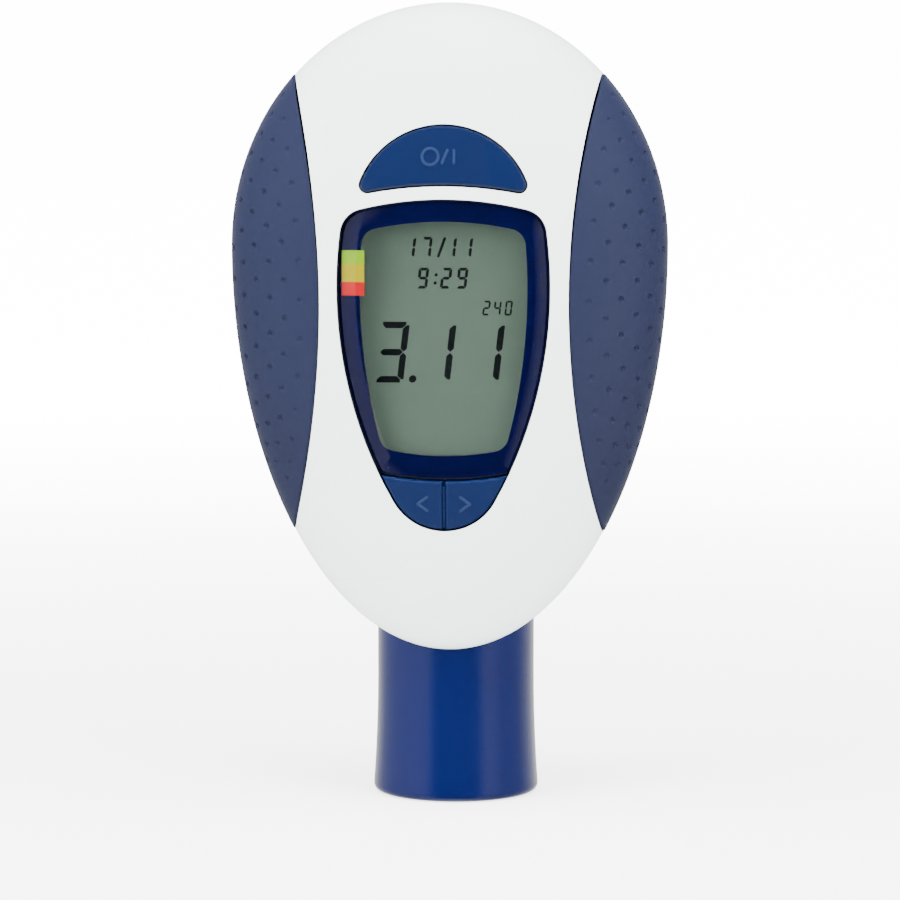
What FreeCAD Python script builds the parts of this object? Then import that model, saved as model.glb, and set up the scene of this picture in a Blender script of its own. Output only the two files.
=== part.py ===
import FreeCAD, Part
import functools
import math
import os
import re
import Sketcher

# Hand-held electronic peak flow meter.
# An egg-shaped white housing holds a display, a power button and two arrow keys.
# A clear measuring tube with a small turbine slides up into it from below, and
# a blue mouthpiece is pushed onto the end of that tube.
# Millimetres. The origin is the centre of the mouthpiece's end face, +Z runs up
# the tube and the display faces -Y.

SIZES = {
    # outer form: four ellipsoid quarters that meet at the parting plane
    "half_width": 37.75,
    "widest_level": 97.8,
    "crown_rise": 41.9,
    "tail_drop": 70.4,
    "split_offset": 15.5,
    "front_bulge": 14.5,
    "back_bulge": 33.5,
    "wall": 2.6,
    "insert_depth": 1.5,
    "keel_bottom": 35.5,
    "keel_blend": 4.0,
    "keel_top": 98.0,
    # clearances
    "seat": 0.1,
    "fit_gap": 0.05,
    "slide_gap": 0.3,
    "chassis_gap": 0.3,
    # measuring tube and mouthpiece
    "tube_radius": 12.6,
    "tube_bore": 10.8,
    "tube_bottom": 14.0,
    "tube_top": 113.5,
    "tube_chamfer": 0.4,
    "tube_lead": 0.8,
    "sleeve_wall": 2.0,
    "port_radius": 11.2,
    "mouth_bore": 11.0,
    "mouth_wall": 1.3,
    "mouth_flare": 0.75,
    "mouth_flare_height": 20.0,
    "mouth_lip": 1.3,
    "mouth_top": 37.0,
    "mouth_chamfer": 0.5,
    "socket_gap": 0.05,
    "entry_gap": 0.3,
    "seal_radius": 0.6,
    "seal_depth": 1.1,
    "seal_width": 1.44,
    "seal_low": 42.0,
    "seal_high": 108.5,
    # turbine
    "rotor_level": 50.0,
    "rotor_half": 9.6,
    "rotor_height": 7.0,
    "rotor_thickness": 0.5,
    "rotor_gap": 1.5,
    "stator_height": 4.6,
    "stator_rim": 0.7,
    "stator_hub": 2.4,
    "vane_thickness": 0.6,
    "vane_pitch": 38.0,
    "shaft_radius": 0.6,
    "bearing_radius": 1.4,
    "bearing_length": 1.5,
    # side grips
    "grip_level": 88.5,
    "grip_front_edge": 21.5,
    "grip_front_radius": 150.0,
    "grip_back_edge": 30.5,
    "grip_back_radius": 250.0,
    "grip_rise": 39.0,
    "groove": 0.2,
    # teardrop recess for the window and the arrow keys
    "drop_half": 18.25,
    "drop_level": 90.9,
    "drop_side_radius": 75.0,
    "drop_top": 106.1,
    "drop_top_radius": 59.3,
    "drop_corner": 4.5,
    "drop_tip": 10.0,
    # display window
    "lens_bottom": 58.2,
    "lens_bottom_radius": 60.0,
    "lens_edge": 1.1,
    "film_thickness": 0.2,
    "view_half": 14.3,
    "view_side_radius": 100.0,
    "view_top": 102.3,
    "view_top_radius": 55.6,
    "view_bottom": 62.3,
    "view_bottom_radius": 49.5,
    "view_corner": 3.0,
    "zone_outer": 17.3,
    "zone_inner": 13.4,
    "zone_top": 97.4,
    "green_height": 2.3,
    "yellow_height": 3.1,
    "red_height": 2.3,
    # buttons
    "power_top": 118.8,
    "power_radius": 15.4,
    "power_bottom": 108.25,
    "power_bottom_radius": 67.6,
    "power_corner": 1.5,
    "power_level": 113.0,
    "key_level": 55.3,
    "key_offset": 5.4,
    "key_split": 0.5,
    "button_gap": 0.3,
    "button_edge": 0.5,
    "button_travel": 0.6,
    "flange_gap": 0.2,
    "flange_thickness": 0.8,
    "flange_lip": 0.7,
    "stem_radius": 2.0,
    # display glass and circuit board
    "lcd_half": 14.75,
    "lcd_low": 61.8,
    "lcd_high": 102.8,
    "lcd_thickness": 2.4,
    "strip_height": 1.9,
    "strip_width": 2.0,
    "strip_inset": 1.0,
    "frame_width": 1.5,
    "frame_recess": 0.9,
    "board_thickness": 1.2,
    "board_half": 24.0,
    "board_level": 88.0,
    "board_side_radius": 70.0,
    "board_top": 125.5,
    "board_bottom": 45.5,
    "board_end_radius": 60.0,
    "board_corner": 3.0,
    "switch_side": 4.5,
    "switch_height": 1.5,
    "plunger_radius": 1.1,
    "plunger_height": 0.8,
    "buzzer_radius": 4.2,
    "buzzer_height": 2.2,
    "buzzer_level": 121.6,
    "chip_half": 5.0,
    "chip_level": 89.0,
    "chip_thickness": 1.2,
    # posts and screws
    "post_radius": 1.8,
    "post_low_level": 72.0,
    "post_low_offset": 19.5,
    "post_high_level": 119.3,
    "post_high_offset": 14.0,
    "board_screw_radius": 0.75,
    "board_screw_head": 1.6,
    "board_screw_reach": 2.2,
    "boss_radius": 3.3,
    "boss_low_level": 58.0,
    "boss_low_offset": 23.0,
    "boss_high_level": 120.5,
    "boss_high_offset": 22.0,
    "screw_radius": 1.0,
    "screw_head_radius": 2.1,
    "screw_head_height": 1.3,
    "screw_seat_depth": 6.0,
    "screw_reach": 6.0,
    "screw_gap": 0.3,
    # infrared sensor round the tube
    "bracket_thickness": 2.6,
    "bracket_height": 5.0,
    "bracket_reach": 70.0,
    "sensor_radius": 1.5,
    "sensor_length": 4.0,
    "sensor_angle": 62.0,
    "sensor_step": 22.0,
    # batteries
    "cell_radius": 5.25,
    "cell_length": 44.5,
    "cell_bottom": 66.0,
    "cell_forward": 3.5,
    "cell_wall": 0.8,
    "cell_gap": 0.2,
    "cell_cap_radius": 1.9,
    "cell_cap_height": 1.0,
    "contact_depth": 2.4,
    "contact_side": 7.0,
    "contact_thickness": 0.4,
    "nub_radius": 2.3,
    "nub_tip": 0.95,
    "spring_radius": 3.0,
    "spring_wire": 0.3,
    "spring_turns": 2.5,
    "spring_taper": 20.0,
    "tray_wall": 1.2,
    "tray_back": 1.0,
    "door_margin": 0.6,
    "door_corner": 5.0,
    "door_ledge": 0.8,
    "door_gap": 0.3,
    "rib_level": 104.0,
    "rib_pitch": 2.4,
    "rib_width": 1.1,
    "rib_half": 8.0,
    "rib_depth": 0.6,
}

doc = FreeCAD.newDocument("peak_flow_meter")
Vector = FreeCAD.Vector
Rotation = FreeCAD.Rotation

# A cylinder or box made along Z points to the front or to the back with these.
TO_FRONT = Rotation(Vector(1, 0, 0), 90)
TO_BACK = Rotation(Vector(1, 0, 0), -90)
REACH = 45.0
STATOR_VANES = 6
DOOR_RIBS = 4
POSTS = (("post_low_level", "post_low_offset"), ("post_high_level", "post_high_offset"))
BOSSES = (("boss_low_level", "boss_low_offset"), ("boss_high_level", "boss_high_offset"))
nodes = {}


def fill_sheet():
    """Write every driving dimension into a named cell."""
    table = doc.addObject("Spreadsheet::Sheet", "sizes")
    for row, (alias, value) in enumerate(SIZES.items(), 1):
        table.set(f"A{row}", alias)
        table.set(f"B{row}", str(value))
        table.setAlias(f"B{row}", alias)
    doc.recompute()
    return table


sheet = fill_sheet()


def link(text):
    """A formula with its names pointed at the sheet's cells."""
    return re.sub(r"[a-z_]{3,}", lambda word: "sizes." * (word.group() in SIZES) + word.group(), text)


def size(text):
    """The number that a formula gives."""
    return float(sheet.evalExpression(link(text)))


def bind(obj, prop, text):
    """Tie a property to a formula on the sheet's names."""
    obj.setExpression(prop, link(text))


def dome(x, z, inset):
    """Distance in front of the tube axis of the front form, inset by so much."""
    rise = f"(widest_level - ({z})) / (tail_drop - ({inset}))"
    if size(z) > size("widest_level"):
        rise = f"(({z}) - widest_level) / (crown_rise - ({inset}))"
    across = f"({x}) / (half_width - ({inset}))"
    return f"(split_offset + (front_bulge - ({inset})) * sqrt(1 - ({rise})^2 - ({across})^2))"


LCD_FACE = f"({dome('lcd_half', 'lcd_low', 'wall')} - seat)"
BOARD_FACE = f"({LCD_FACE} - lcd_thickness - strip_height)"
BOARD_BACK = f"({BOARD_FACE} - board_thickness)"
STEM_END = f"({BOARD_FACE} + switch_height + plunger_height + button_travel + seat)"
SLEEVE_BORE = "(tube_radius + slide_gap)"
SLEEVE_RADIUS = f"({SLEEVE_BORE} + sleeve_wall)"
KEEL_RADIUS = f"({SLEEVE_RADIUS} + chassis_gap + wall)"
WAIST_RADIUS = "(tube_radius + socket_gap + mouth_wall)"
CELL_RING = f"({SLEEVE_RADIUS} + cell_wall + cell_gap + cell_radius)"
CELL_X = f"sqrt({CELL_RING}^2 - cell_forward^2)"
BAY_LOW = "(cell_bottom - contact_depth)"
BAY_HIGH = "(cell_bottom + cell_length + contact_depth)"
INSERT = "insert_depth - seat"


def primitive(kind, name, at=("0", "0", "0"), turn=None, **measures):
    """A Part primitive whose place and sizes are formulas."""
    obj = doc.addObject(f"Part::{kind}", name)
    if turn:
        obj.Placement.Rotation = turn
    for axis, text in zip("xyz", at):
        bind(obj, f"Placement.Base.{axis}", text)
    for prop, text in measures.items():
        bind(obj, prop, text)
    return obj


def box(name, low, high):
    """A box between two corners."""
    spans = [f"({end}) - ({start})" for start, end in zip(low, high)]
    return primitive("Box", name, low, Length=spans[0], Width=spans[1], Height=spans[2])


def rod(name, radius, at, length, turn=None):
    """A cylinder that starts at a point and runs up, to the front or to the back."""
    return primitive("Cylinder", name, at, turn, Radius=radius, Height=length)


def joined(name, *pieces):
    """Pieces fused into one solid."""
    obj = doc.addObject("Part::MultiFuse", name)
    obj.Shapes = list(pieces)
    return obj


def shared(name, *pieces):
    """What all the pieces have in common."""
    obj = doc.addObject("Part::MultiCommon", name)
    obj.Shapes = list(pieces)
    return obj


def without(name, base, *tools):
    """A piece with other pieces cut away."""
    obj = doc.addObject("Part::Cut", name)
    obj.Base = base
    obj.Tool = tools[0] if len(tools) == 1 else joined(f"{name}_tools", *tools)
    return obj


def group(name, pieces):
    """Separate solids under one name."""
    obj = doc.addObject("Part::Compound", name)
    obj.Links = pieces
    return obj


def rounded(name, base, radius, wanted):
    """Fillet the edges of a piece that a test on each edge picks out."""
    doc.recompute()
    edges = [number for number, edge in enumerate(base.Shape.Edges, 1) if wanted(edge)]
    obj = doc.addObject("Part::Fillet", name)
    obj.Base = base
    obj.Edges = [(number, size(radius), size(radius)) for number in edges]
    return obj


def outer_rim(edge):
    """Whether an edge bounds a piece of the front form's outer surface."""
    low, high = edge.ParameterRange
    spots = [edge.valueAt(low + (high - low) * share) for share in (0.3, 0.7)]
    off = [abs(spot.y + size(dome(f"{spot.x:.6f}", f"{spot.z:.6f}", "0"))) for spot in spots]
    return max(off) < 0.01 < edge.BoundBox.ZLength


def node(name, obj):
    """Keep a finished sub-part under the name of its file."""
    obj.Label = name
    nodes[name] = obj
    return obj


def mirrored(sign, near, far):
    """Low and high formulas of a span on the left (-1) or the right (1)."""
    return (f"-({far})", f"-({near})") if sign < 0 else (f"{near}", f"{far}")


@functools.cache
def half_egg(side, inset="0"):
    """The front or rear half of the egg, its surface moved inwards by inset."""
    name = f"{side}_egg"
    reaches = ["back_bulge", "crown_rise", "front_bulge", "tail_drop"]
    quarters = []
    for turn in {"front": (1, 2), "rear": (3, 0)}[side]:
        quarter = primitive(
            "Ellipsoid", f"{name}_{turn}", ("0", "-split_offset", "widest_level"),
            Rotation(Vector(1, 0, 0), 90 * turn) * Rotation(Vector(1, 1, 1), 120),
            Radius1=f"half_width - ({inset})",
            Radius2=f"{reaches[turn]} - ({inset})",
            Radius3=f"{reaches[(turn + 1) % 4]} - ({inset})",
        )
        quarter.Angle1, quarter.Angle2, quarter.Angle3 = -90, 90, 90
        quarters.append(quarter)
    return joined(name, *quarters)


@functools.cache
def rear_form(inset="0"):
    """The rear half of the egg with the keel that covers the tube's back."""
    name = "rear_form"
    keel = rod(f"{name}_barrel", f"{KEEL_RADIUS} - ({inset})", ("0", "0", f"keel_bottom + ({inset})"),
               f"keel_top - keel_bottom - ({inset})")
    behind = box(f"{name}_behind", ("-half_width", "-split_offset", "0"),
                 ("half_width", "back_bulge", "keel_top"))
    return joined(name, half_egg("rear", inset), shared(f"{name}_keel", keel, behind))


@functools.cache
def skin_of(side, start, end):
    """The layer of one half of the egg between two insets."""
    return without(f"{side}_skin", half_egg(side, start), half_egg(side, end))


def disc(name, radius, x, z):
    """A wide disc that faces the front, with the outline of one arc."""
    return rod(name, radius, (x, "0", z), str(REACH), TO_FRONT)


def along_y(edge):
    """Whether an edge runs straight from back to front."""
    ends = [vertex.Point for vertex in edge.Vertexes]
    return len(ends) == 2 and abs((ends[1] - ends[0]).y) > 0.9 * edge.Length > 1


def arched(name, names, grow="0", bottom=True):
    """A prism whose outline is two side arcs, a top arc and a bottom arc."""
    half, side, level = f"{names}_half", f"{names}_side_radius", names + "_level"
    if level not in SIZES:
        level = "drop_level"
    top_radius, bottom_radius = f"{names}_top_radius", f"{names}_bottom_radius"
    if top_radius not in SIZES:
        top_radius = bottom_radius = f"{names}_end_radius"
    discs = [
        disc(f"{name}_left", f"{side} + ({grow})", f"{side} - {half}", level),
        disc(f"{name}_right", f"{side} + ({grow})", f"{half} - {side}", level),
        disc(f"{name}_top", f"{top_radius} + ({grow})", "0", f"{names}_top - {top_radius}"),
    ]
    if bottom:
        discs.append(disc(f"{name}_bottom", f"{bottom_radius} + ({grow})", "0",
                          f"{names}_bottom + {bottom_radius}"))
    return shared(name, *discs)


def teardrop(name, grow="0"):
    """The outline round the window and the arrow keys, with its rounded tip."""
    blank = arched(f"{name}_blank", "drop", grow, bottom=False)
    middle = size("drop_level")
    corners = rounded(f"{name}_corners", blank, f"drop_corner + ({grow})",
                      lambda edge: along_y(edge) and edge.CenterOfMass.z > middle)
    return rounded(name, corners, f"drop_tip + ({grow})",
                   lambda edge: along_y(edge) and edge.CenterOfMass.z < middle)


def window_outline(name, grow="0"):
    """The part of the teardrop above the arrow keys."""
    above = disc(f"{name}_above", f"lens_bottom_radius + ({grow})", "0", "lens_bottom + lens_bottom_radius")
    return shared(name, teardrop(f"{name}_drop", grow), above)


def view_outline(name, grow="0"):
    """The clear opening in front of the display."""
    blank = arched(f"{name}_blank", "view", grow)
    return rounded(name, blank, f"view_corner + ({grow})", along_y)


def keys_outline(name, grow="0"):
    """The part of the teardrop below the window, for both arrow keys."""
    above = disc(f"{name}_above", f"lens_bottom_radius - ({grow})", "0", "lens_bottom + lens_bottom_radius")
    return without(name, teardrop(f"{name}_drop", grow), above)


def power_outline(name, grow="0"):
    """The power button's outline: a round top over an arched bottom."""
    top = disc(f"{name}_top", f"power_radius + ({grow})", "0", "power_top - power_radius")
    bottom = disc(f"{name}_bottom", f"power_bottom_radius - ({grow})", "0",
                  "power_bottom - power_bottom_radius")
    blank = without(f"{name}_blank", top, bottom)
    return rounded(name, blank, f"power_corner + ({grow})", along_y)


def grip_region(name, sign, side, grow="0"):
    """The lens-shaped area of one side grip, on the front or on the back."""
    if side == "front":
        centre = f"{sign} * (grip_front_edge + grip_front_radius)"
        return disc(name, f"grip_front_radius + ({grow})", centre, "grip_level")
    span = ("grip_level - grip_rise", "grip_level + grip_rise")
    low, high = mirrored(sign, "0", "half_width + wall")
    field = box(f"{name}_field", (low, "-split_offset", span[0]), (high, "back_bulge", span[1]))
    centre = f"{sign} * (grip_back_edge - grip_back_radius)"
    round_cut = rod(f"{name}_round", f"grip_back_radius - ({grow})", (centre, "-split_offset", "grip_level"),
                    str(REACH), TO_BACK)
    return without(name, field, round_cut)


def four_rods(name, places, radius, start, length, turn=TO_FRONT):
    """Rods of one kind at the left and right of the two levels of a screw pattern."""
    rods = []
    for number, (level, offset) in enumerate(places):
        for sign in (-1, 1):
            place = (f"{sign} * {offset}", start, level)
            rods.append(rod(f"{name}_{number}_{sign + 1}", radius, place, length, turn))
    return rods


def make_front_cover():
    """White front shell with the recess, the holes for the buttons, posts and bosses."""
    outer = half_egg("front")
    shell = without("front_shell", outer, half_egg("front", "wall"))
    posts = four_rods("post", POSTS, "post_radius", f"-{BOARD_FACE}", str(REACH))
    bosses = four_rods("front_boss", BOSSES, "boss_radius", "-split_offset", str(REACH))
    fittings = shared("front_fittings", joined("front_columns", *posts, *bosses), outer)
    solid = joined("front_solid", shell, fittings)
    floor = half_egg("front", "insert_depth")
    recess = without("recess", teardrop("recess_outline"), floor)
    cuts = [
        recess,
        view_outline("view_hole"),
        keys_outline("keys_hole"),
        power_outline("power_hole"),
        *four_rods("post_hole", POSTS, "board_screw_radius + fit_gap", f"-{BOARD_FACE}",
                   "board_screw_reach + seat"),
        *four_rods("pilot", BOSSES, "screw_radius + fit_gap", "-split_offset", "screw_reach + seat"),
    ]
    for sign in (-1, 1):
        region = grip_region(f"front_grip_area_{sign + 1}", sign, "front", "groove")
        cuts.append(without(f"front_grip_seat_{sign + 1}", region, floor))
    return node("front_cover", without("front_cover", solid, *cuts))


def door_prism(name, grow="0"):
    """The battery door's rounded outline, from the parting plane to the back."""
    reach = f"({CELL_X} + cell_radius + door_margin + ({grow}))"
    blank = box(f"{name}_blank", (f"-{reach}", "cell_gap - split_offset", f"{BAY_LOW} + seat - ({grow})"),
                (reach, "back_bulge", f"{BAY_HIGH} - seat + ({grow})"))
    return rounded(name, blank, f"door_corner + ({grow})", along_y)


def make_rear_cover():
    """White rear shell with the keel, the air outlet and the battery opening."""
    sharp = rear_form()
    low, high = size("keel_bottom + wall"), size("keel_top - 2 * keel_blend")
    front = size("-split_offset / 2")
    outer = rounded("rear_blended", sharp, "keel_blend",
                    lambda edge: edge.CenterOfMass.y > front and low < edge.CenterOfMass.z < high)
    shell = without("rear_shell", outer, rear_form("wall"))
    towers = four_rods("tower", BOSSES, "boss_radius", "-split_offset", str(REACH), TO_BACK)
    fittings = shared("rear_fittings", joined("rear_columns", *towers), sharp)
    solid = joined("rear_solid", shell, fittings)
    floor = rear_form("insert_depth")
    cuts = [
        *four_rods("tower_bore", BOSSES, "screw_radius + screw_gap", "-split_offset", str(REACH), TO_BACK),
        *four_rods("tower_sink", BOSSES, "screw_head_radius + screw_gap",
                   "screw_seat_depth - split_offset", str(REACH), TO_BACK),
        rod("entry", f"{WAIST_RADIUS} + entry_gap", ("0", "0", "0"), "keel_bottom + wall + keel_blend"),
        rod("port", "port_radius", ("0", "0", "widest_level"), "crown_rise + wall"),
        without("door_hole_outer", door_prism("door_hole_wide"), floor),
        door_prism("door_hole_inner", "-door_ledge"),
    ]
    for sign in (-1, 1):
        region = grip_region(f"rear_grip_area_{sign + 1}", sign, "rear", "groove")
        cuts.append(without(f"rear_grip_seat_{sign + 1}", region, floor))
    node("rear_cover", without("rear_cover", solid, *cuts))
    layer = without("door_layer", outer, rear_form(INSERT))
    skin = shared("door_skin", layer, door_prism("door_outline", "-door_gap"))
    plug = shared("door_plug", shell, door_prism("door_plug_outline", "-door_ledge - door_gap"))
    blank = joined("door_blank", skin, plug)
    ribs = []
    for number in range(DOOR_RIBS):
        low = f"rib_level - {number} * rib_pitch"
        high = f"{low} + rib_width"
        ribs.append(box(f"door_rib_{number}", ("-rib_half", "0", low), ("rib_half", "back_bulge", high)))
    grooves = without("door_grooves", joined("door_ribs", *ribs), rear_form("rib_depth"))
    node("battery_door", without("battery_door", blank, grooves))


def make_grips():
    """Soft side grips that lie flush in their recesses, across the parting line."""
    for sign, name in ((-1, "left_grip"), (1, "right_grip")):
        halves = []
        for side in ("front", "rear"):
            skin = skin_of(side, "0", INSERT)
            halves.append(shared(f"{name}_{side}", skin, grip_region(f"{name}_{side}_area", sign, side)))
        node(name, joined(name, *halves))


def make_window():
    """Clear window, its dark printed border and the three zone marks."""
    skin = skin_of("front", "0", f"{INSERT} - film_thickness")
    blank = shared("lens_blank", skin, window_outline("lens_outline", "-button_gap"))
    node("display_window", rounded("display_window", blank, "lens_edge", outer_rim))
    film = skin_of("front", f"{INSERT} - film_thickness", INSERT)
    border = shared("film_blank", film, window_outline("film_outline", "-button_gap"))
    marks = []
    top = "zone_top"
    for colour in ("green", "yellow", "red"):
        low = f"{top} - {colour}_height"
        field = box(f"{colour}_field", ("-zone_outer", f"-{REACH}", low), ("-zone_inner", "0", top))
        marks.append(field)
        node(f"zone_mark_{colour}", shared(f"zone_mark_{colour}", film, field))
        top = low
    node("window_border", without("window_border", border, view_outline("film_hole"), *marks))


def make_button(name, outline, x, z, keep=()):
    """A button: cap through its hole, flange behind the cover and stem to its switch."""
    back = "wall + flange_gap + flange_thickness"
    face = outline(f"{name}_outline", "-button_gap")
    blank = shared(f"{name}_blank", skin_of("front", "0", back), face, *keep)
    cap = rounded(f"{name}_cap", blank, "button_edge", outer_rim)
    flange = shared(f"{name}_flange", skin_of("front", "wall + flange_gap", back),
                    outline(f"{name}_flange_outline", "flange_lip"), *keep)
    start = f"-{STEM_END}"
    stem = rod(f"{name}_stem", "stem_radius", (x, start, z), f"{dome(x, z, 'wall')} - {STEM_END}", TO_FRONT)
    node(name, joined(name, cap, flange, stem))


def make_buttons():
    """The power button and the two arrow keys."""
    make_button("power_button", power_outline, "0", "power_level")
    for sign, name in ((-1, "previous_button"), (1, "next_button")):
        low, high = mirrored(sign, "key_split / 2", "half_width")
        half = box(f"{name}_half", (low, f"-{REACH}", "0"), (high, "0", "widest_level"))
        make_button(name, keys_outline, f"{sign} * key_offset", "key_level", (half,))


def make_display():
    """Display glass, its frame, the contact strips and the circuit board."""
    glass = box("lcd_glass", ("-lcd_half", f"-{LCD_FACE}", "lcd_low"),
                ("lcd_half", f"lcd_thickness - {LCD_FACE}", "lcd_high"))
    node("lcd_glass", glass)
    outer = box("frame_blank", ("-lcd_half - seat - frame_width", f"frame_recess - {LCD_FACE}",
                                "lcd_low - seat - frame_width"),
                ("lcd_half + seat + frame_width", f"-{BOARD_FACE}", "lcd_high + seat + frame_width"))
    inner = box("frame_hole", ("-lcd_half - seat", f"-{REACH}", "lcd_low - seat"),
                ("lcd_half + seat", "0", "lcd_high + seat"))
    node("lcd_frame", without("lcd_frame", outer, inner))
    strips = []
    for tag, low in (("low", "lcd_low"), ("high", "lcd_high - strip_width")):
        strips.append(box(f"strip_{tag}", ("strip_inset - lcd_half", f"lcd_thickness - {LCD_FACE}", low),
                          ("lcd_half - strip_inset", f"-{BOARD_FACE}", f"{low} + strip_width")))
    node("contact_strips", group("contact_strips", strips))
    plate = shared("board_blank", arched("board_outline", "board"),
                   box("board_slab", ("-half_width", f"-{BOARD_FACE}", "0"),
                       ("half_width", f"-{BOARD_BACK}", "widest_level + crown_rise")))
    trimmed = rounded("board_rounded", plate, "board_corner", along_y)
    holes = four_rods("board_hole", POSTS, "board_screw_radius + screw_gap / 2", "0", str(REACH))
    node("circuit_board", without("circuit_board", trimmed, *holes))


def make_board_parts():
    """Switches, chip and buzzer on the board."""
    switches = []
    for tag, x, z in (("power", "0", "power_level"), ("previous", "-key_offset", "key_level"),
                      ("next", "key_offset", "key_level")):
        case = box(f"switch_{tag}_case", (f"{x} - switch_side / 2", f"-{BOARD_FACE} - switch_height",
                                          f"{z} - switch_side / 2"),
                   (f"{x} + switch_side / 2", f"-{BOARD_FACE}", f"{z} + switch_side / 2"))
        plunger = rod(f"switch_{tag}_plunger", "plunger_radius", (x, f"-{BOARD_FACE} - switch_height", z),
                      "plunger_height", TO_FRONT)
        switches.append(joined(f"switch_{tag}", case, plunger))
    node("tact_switches", group("tact_switches", switches))
    node("buzzer", rod("buzzer", "buzzer_radius", ("0", f"-{BOARD_FACE}", "buzzer_level"), "buzzer_height",
                       TO_FRONT))
    node("main_chip", box("main_chip", ("-chip_half", f"-{BOARD_BACK}", "chip_level - chip_half"),
                          ("chip_half", f"chip_thickness - {BOARD_BACK}", "chip_level + chip_half")))


def make_screws():
    """Four board screws and four longer housing screws."""
    seat = "screw_seat_depth - split_offset"
    kinds = (
        ("board", POSTS, f"-{BOARD_BACK}", "board_screw_radius", "board_thickness + board_screw_reach",
         "board_screw_head", "board_screw_radius"),
        ("case", BOSSES, seat, "screw_radius", "screw_seat_depth + screw_reach",
         "screw_head_radius", "screw_head_height"),
    )
    screws = {}
    for kind, places, start, radius, length, head_radius, head_height in kinds:
        shanks = four_rods(f"{kind}_shank", places, radius, start, length)
        heads = four_rods(f"{kind}_head", places, head_radius, start, head_height, TO_BACK)
        pairs = enumerate(zip(shanks, heads))
        screws[kind] = [joined(f"{kind}_screw_{number}", *pair) for number, pair in pairs]
    node("board_screws", group("board_screws", screws["board"]))
    node("housing_screws", group("housing_screws", screws["case"]))


def make_chassis():
    """Inner moulding: the tube's sleeve with a battery trough on each side."""
    blanks = [rod("sleeve_blank", SLEEVE_RADIUS, ("0", "0", "keel_bottom + wall + chassis_gap"),
                  "widest_level + crown_rise")]
    hollows = []
    for sign in (-1, 1):
        tag = sign + 1
        low, high = mirrored(sign, "0", f"{CELL_X} + cell_radius + cell_gap + tray_wall")
        blanks.append(box(f"tray_{tag}", (low, "-cell_forward - cell_radius - cell_gap - tray_wall",
                                          f"{BAY_LOW} - tray_wall"),
                          (high, "tray_back", f"{BAY_HIGH} + tray_wall")))
        centre = f"{sign} * {CELL_X}"
        trough = rod(f"trough_{tag}", "cell_radius + cell_gap", (centre, "-cell_forward", BAY_LOW),
                     f"{BAY_HIGH} - {BAY_LOW}")
        mouth = box(f"trough_mouth_{tag}", (f"{centre} - cell_radius - cell_gap", "-cell_forward", BAY_LOW),
                    (f"{centre} + cell_radius + cell_gap", "back_bulge", BAY_HIGH))
        hollows += [trough, mouth]
    solid = shared("chassis_blank", joined("chassis_blanks", *blanks),
                   rear_form("wall + chassis_gap"))
    bore = rod("sleeve_bore", SLEEVE_BORE, ("0", "0", "0"), "tube_top + seat")
    outlet = rod("sleeve_outlet", "port_radius", ("0", "0", "widest_level"), "crown_rise + wall")
    node("chassis", without("chassis", solid, bore, outlet, *hollows))


def make_cells():
    """Two cells with a spring and a plate contact at their ends."""
    cells = []
    springs = []
    plates = []
    travel = "contact_depth - contact_thickness - 2 * spring_wire"
    for sign in (-1, 1):
        tag = sign + 1
        centre = f"{sign} * {CELL_X}"
        case_low = "cell_bottom" if sign < 0 else "cell_bottom + cell_cap_height"
        cap_low = "cell_bottom + cell_length - cell_cap_height" if sign < 0 else "cell_bottom"
        case = rod(f"cell_case_{tag}", "cell_radius", (centre, "-cell_forward", case_low),
                   "cell_length - cell_cap_height")
        cap = rod(f"cell_cap_{tag}", "cell_cap_radius", (centre, "-cell_forward", cap_low), "cell_cap_height")
        cells.append(joined(f"cell_{tag}", case, cap))
        for end, low, away in (("low", BAY_LOW, 1), ("high", BAY_HIGH, -1)):
            face = low if away > 0 else f"{low} - contact_thickness"
            half = "contact_side / 2"
            base = box(f"contact_{end}_{tag}", (f"{centre} - {half}", f"-cell_forward - {half}", face),
                       (f"{centre} + {half}", f"{half} - cell_forward", f"{face} + contact_thickness"))
            if away == -sign:
                turns = primitive("Helix", f"spring_path_{end}_{tag}",
                                  (centre, "-cell_forward",
                                   f"{BAY_LOW} + contact_thickness + spring_wire" if away > 0 else
                                   f"{BAY_HIGH} - contact_thickness - spring_wire"),
                                  None if away > 0 else Rotation(Vector(1, 0, 0), 180),
                                  Pitch=f"({travel}) / spring_turns", Height=f"{travel} - seat",
                                  Radius="spring_radius")
                bind(turns, "Angle", "-spring_taper")
                springs.append((f"spring_{end}_{tag}", turns, base))
            else:
                nub = primitive("Cone", f"nub_{end}_{tag}",
                                (centre, "-cell_forward", f"{BAY_LOW} + contact_thickness" if away > 0 else
                                 f"{BAY_HIGH} - contact_thickness"),
                                None if away > 0 else Rotation(Vector(1, 0, 0), 180),
                                Radius1="nub_radius", Radius2="nub_tip",
                                Height="contact_depth - contact_thickness - seat")
                plates.append(joined(f"plate_{end}_{tag}", base, nub))
    node("battery_cells", group("battery_cells", cells))
    node("contact_plates", group("contact_plates", plates))
    wound = []
    for name, path, base in springs:
        section = doc.addObject("Part::Circle", f"{name}_section")
        bind(section, "Radius", "spring_wire")
        doc.recompute()
        start = path.Shape.Edges[0].firstVertex().Point
        heading = path.Shape.Edges[0].tangentAt(path.Shape.Edges[0].FirstParameter)
        section.Placement = FreeCAD.Placement(start, Rotation(Vector(0, 0, 1), heading))
        wire = doc.addObject("Part::Sweep", f"{name}_wire")
        wire.Sections = [section]
        wire.Spine = (path, [f"Edge{number}" for number in range(1, len(path.Shape.Edges) + 1)])
        wire.Solid = True
        wire.Frenet = True
        wound += [wire, base]
    node("contact_springs", group("contact_springs", wound))


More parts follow.
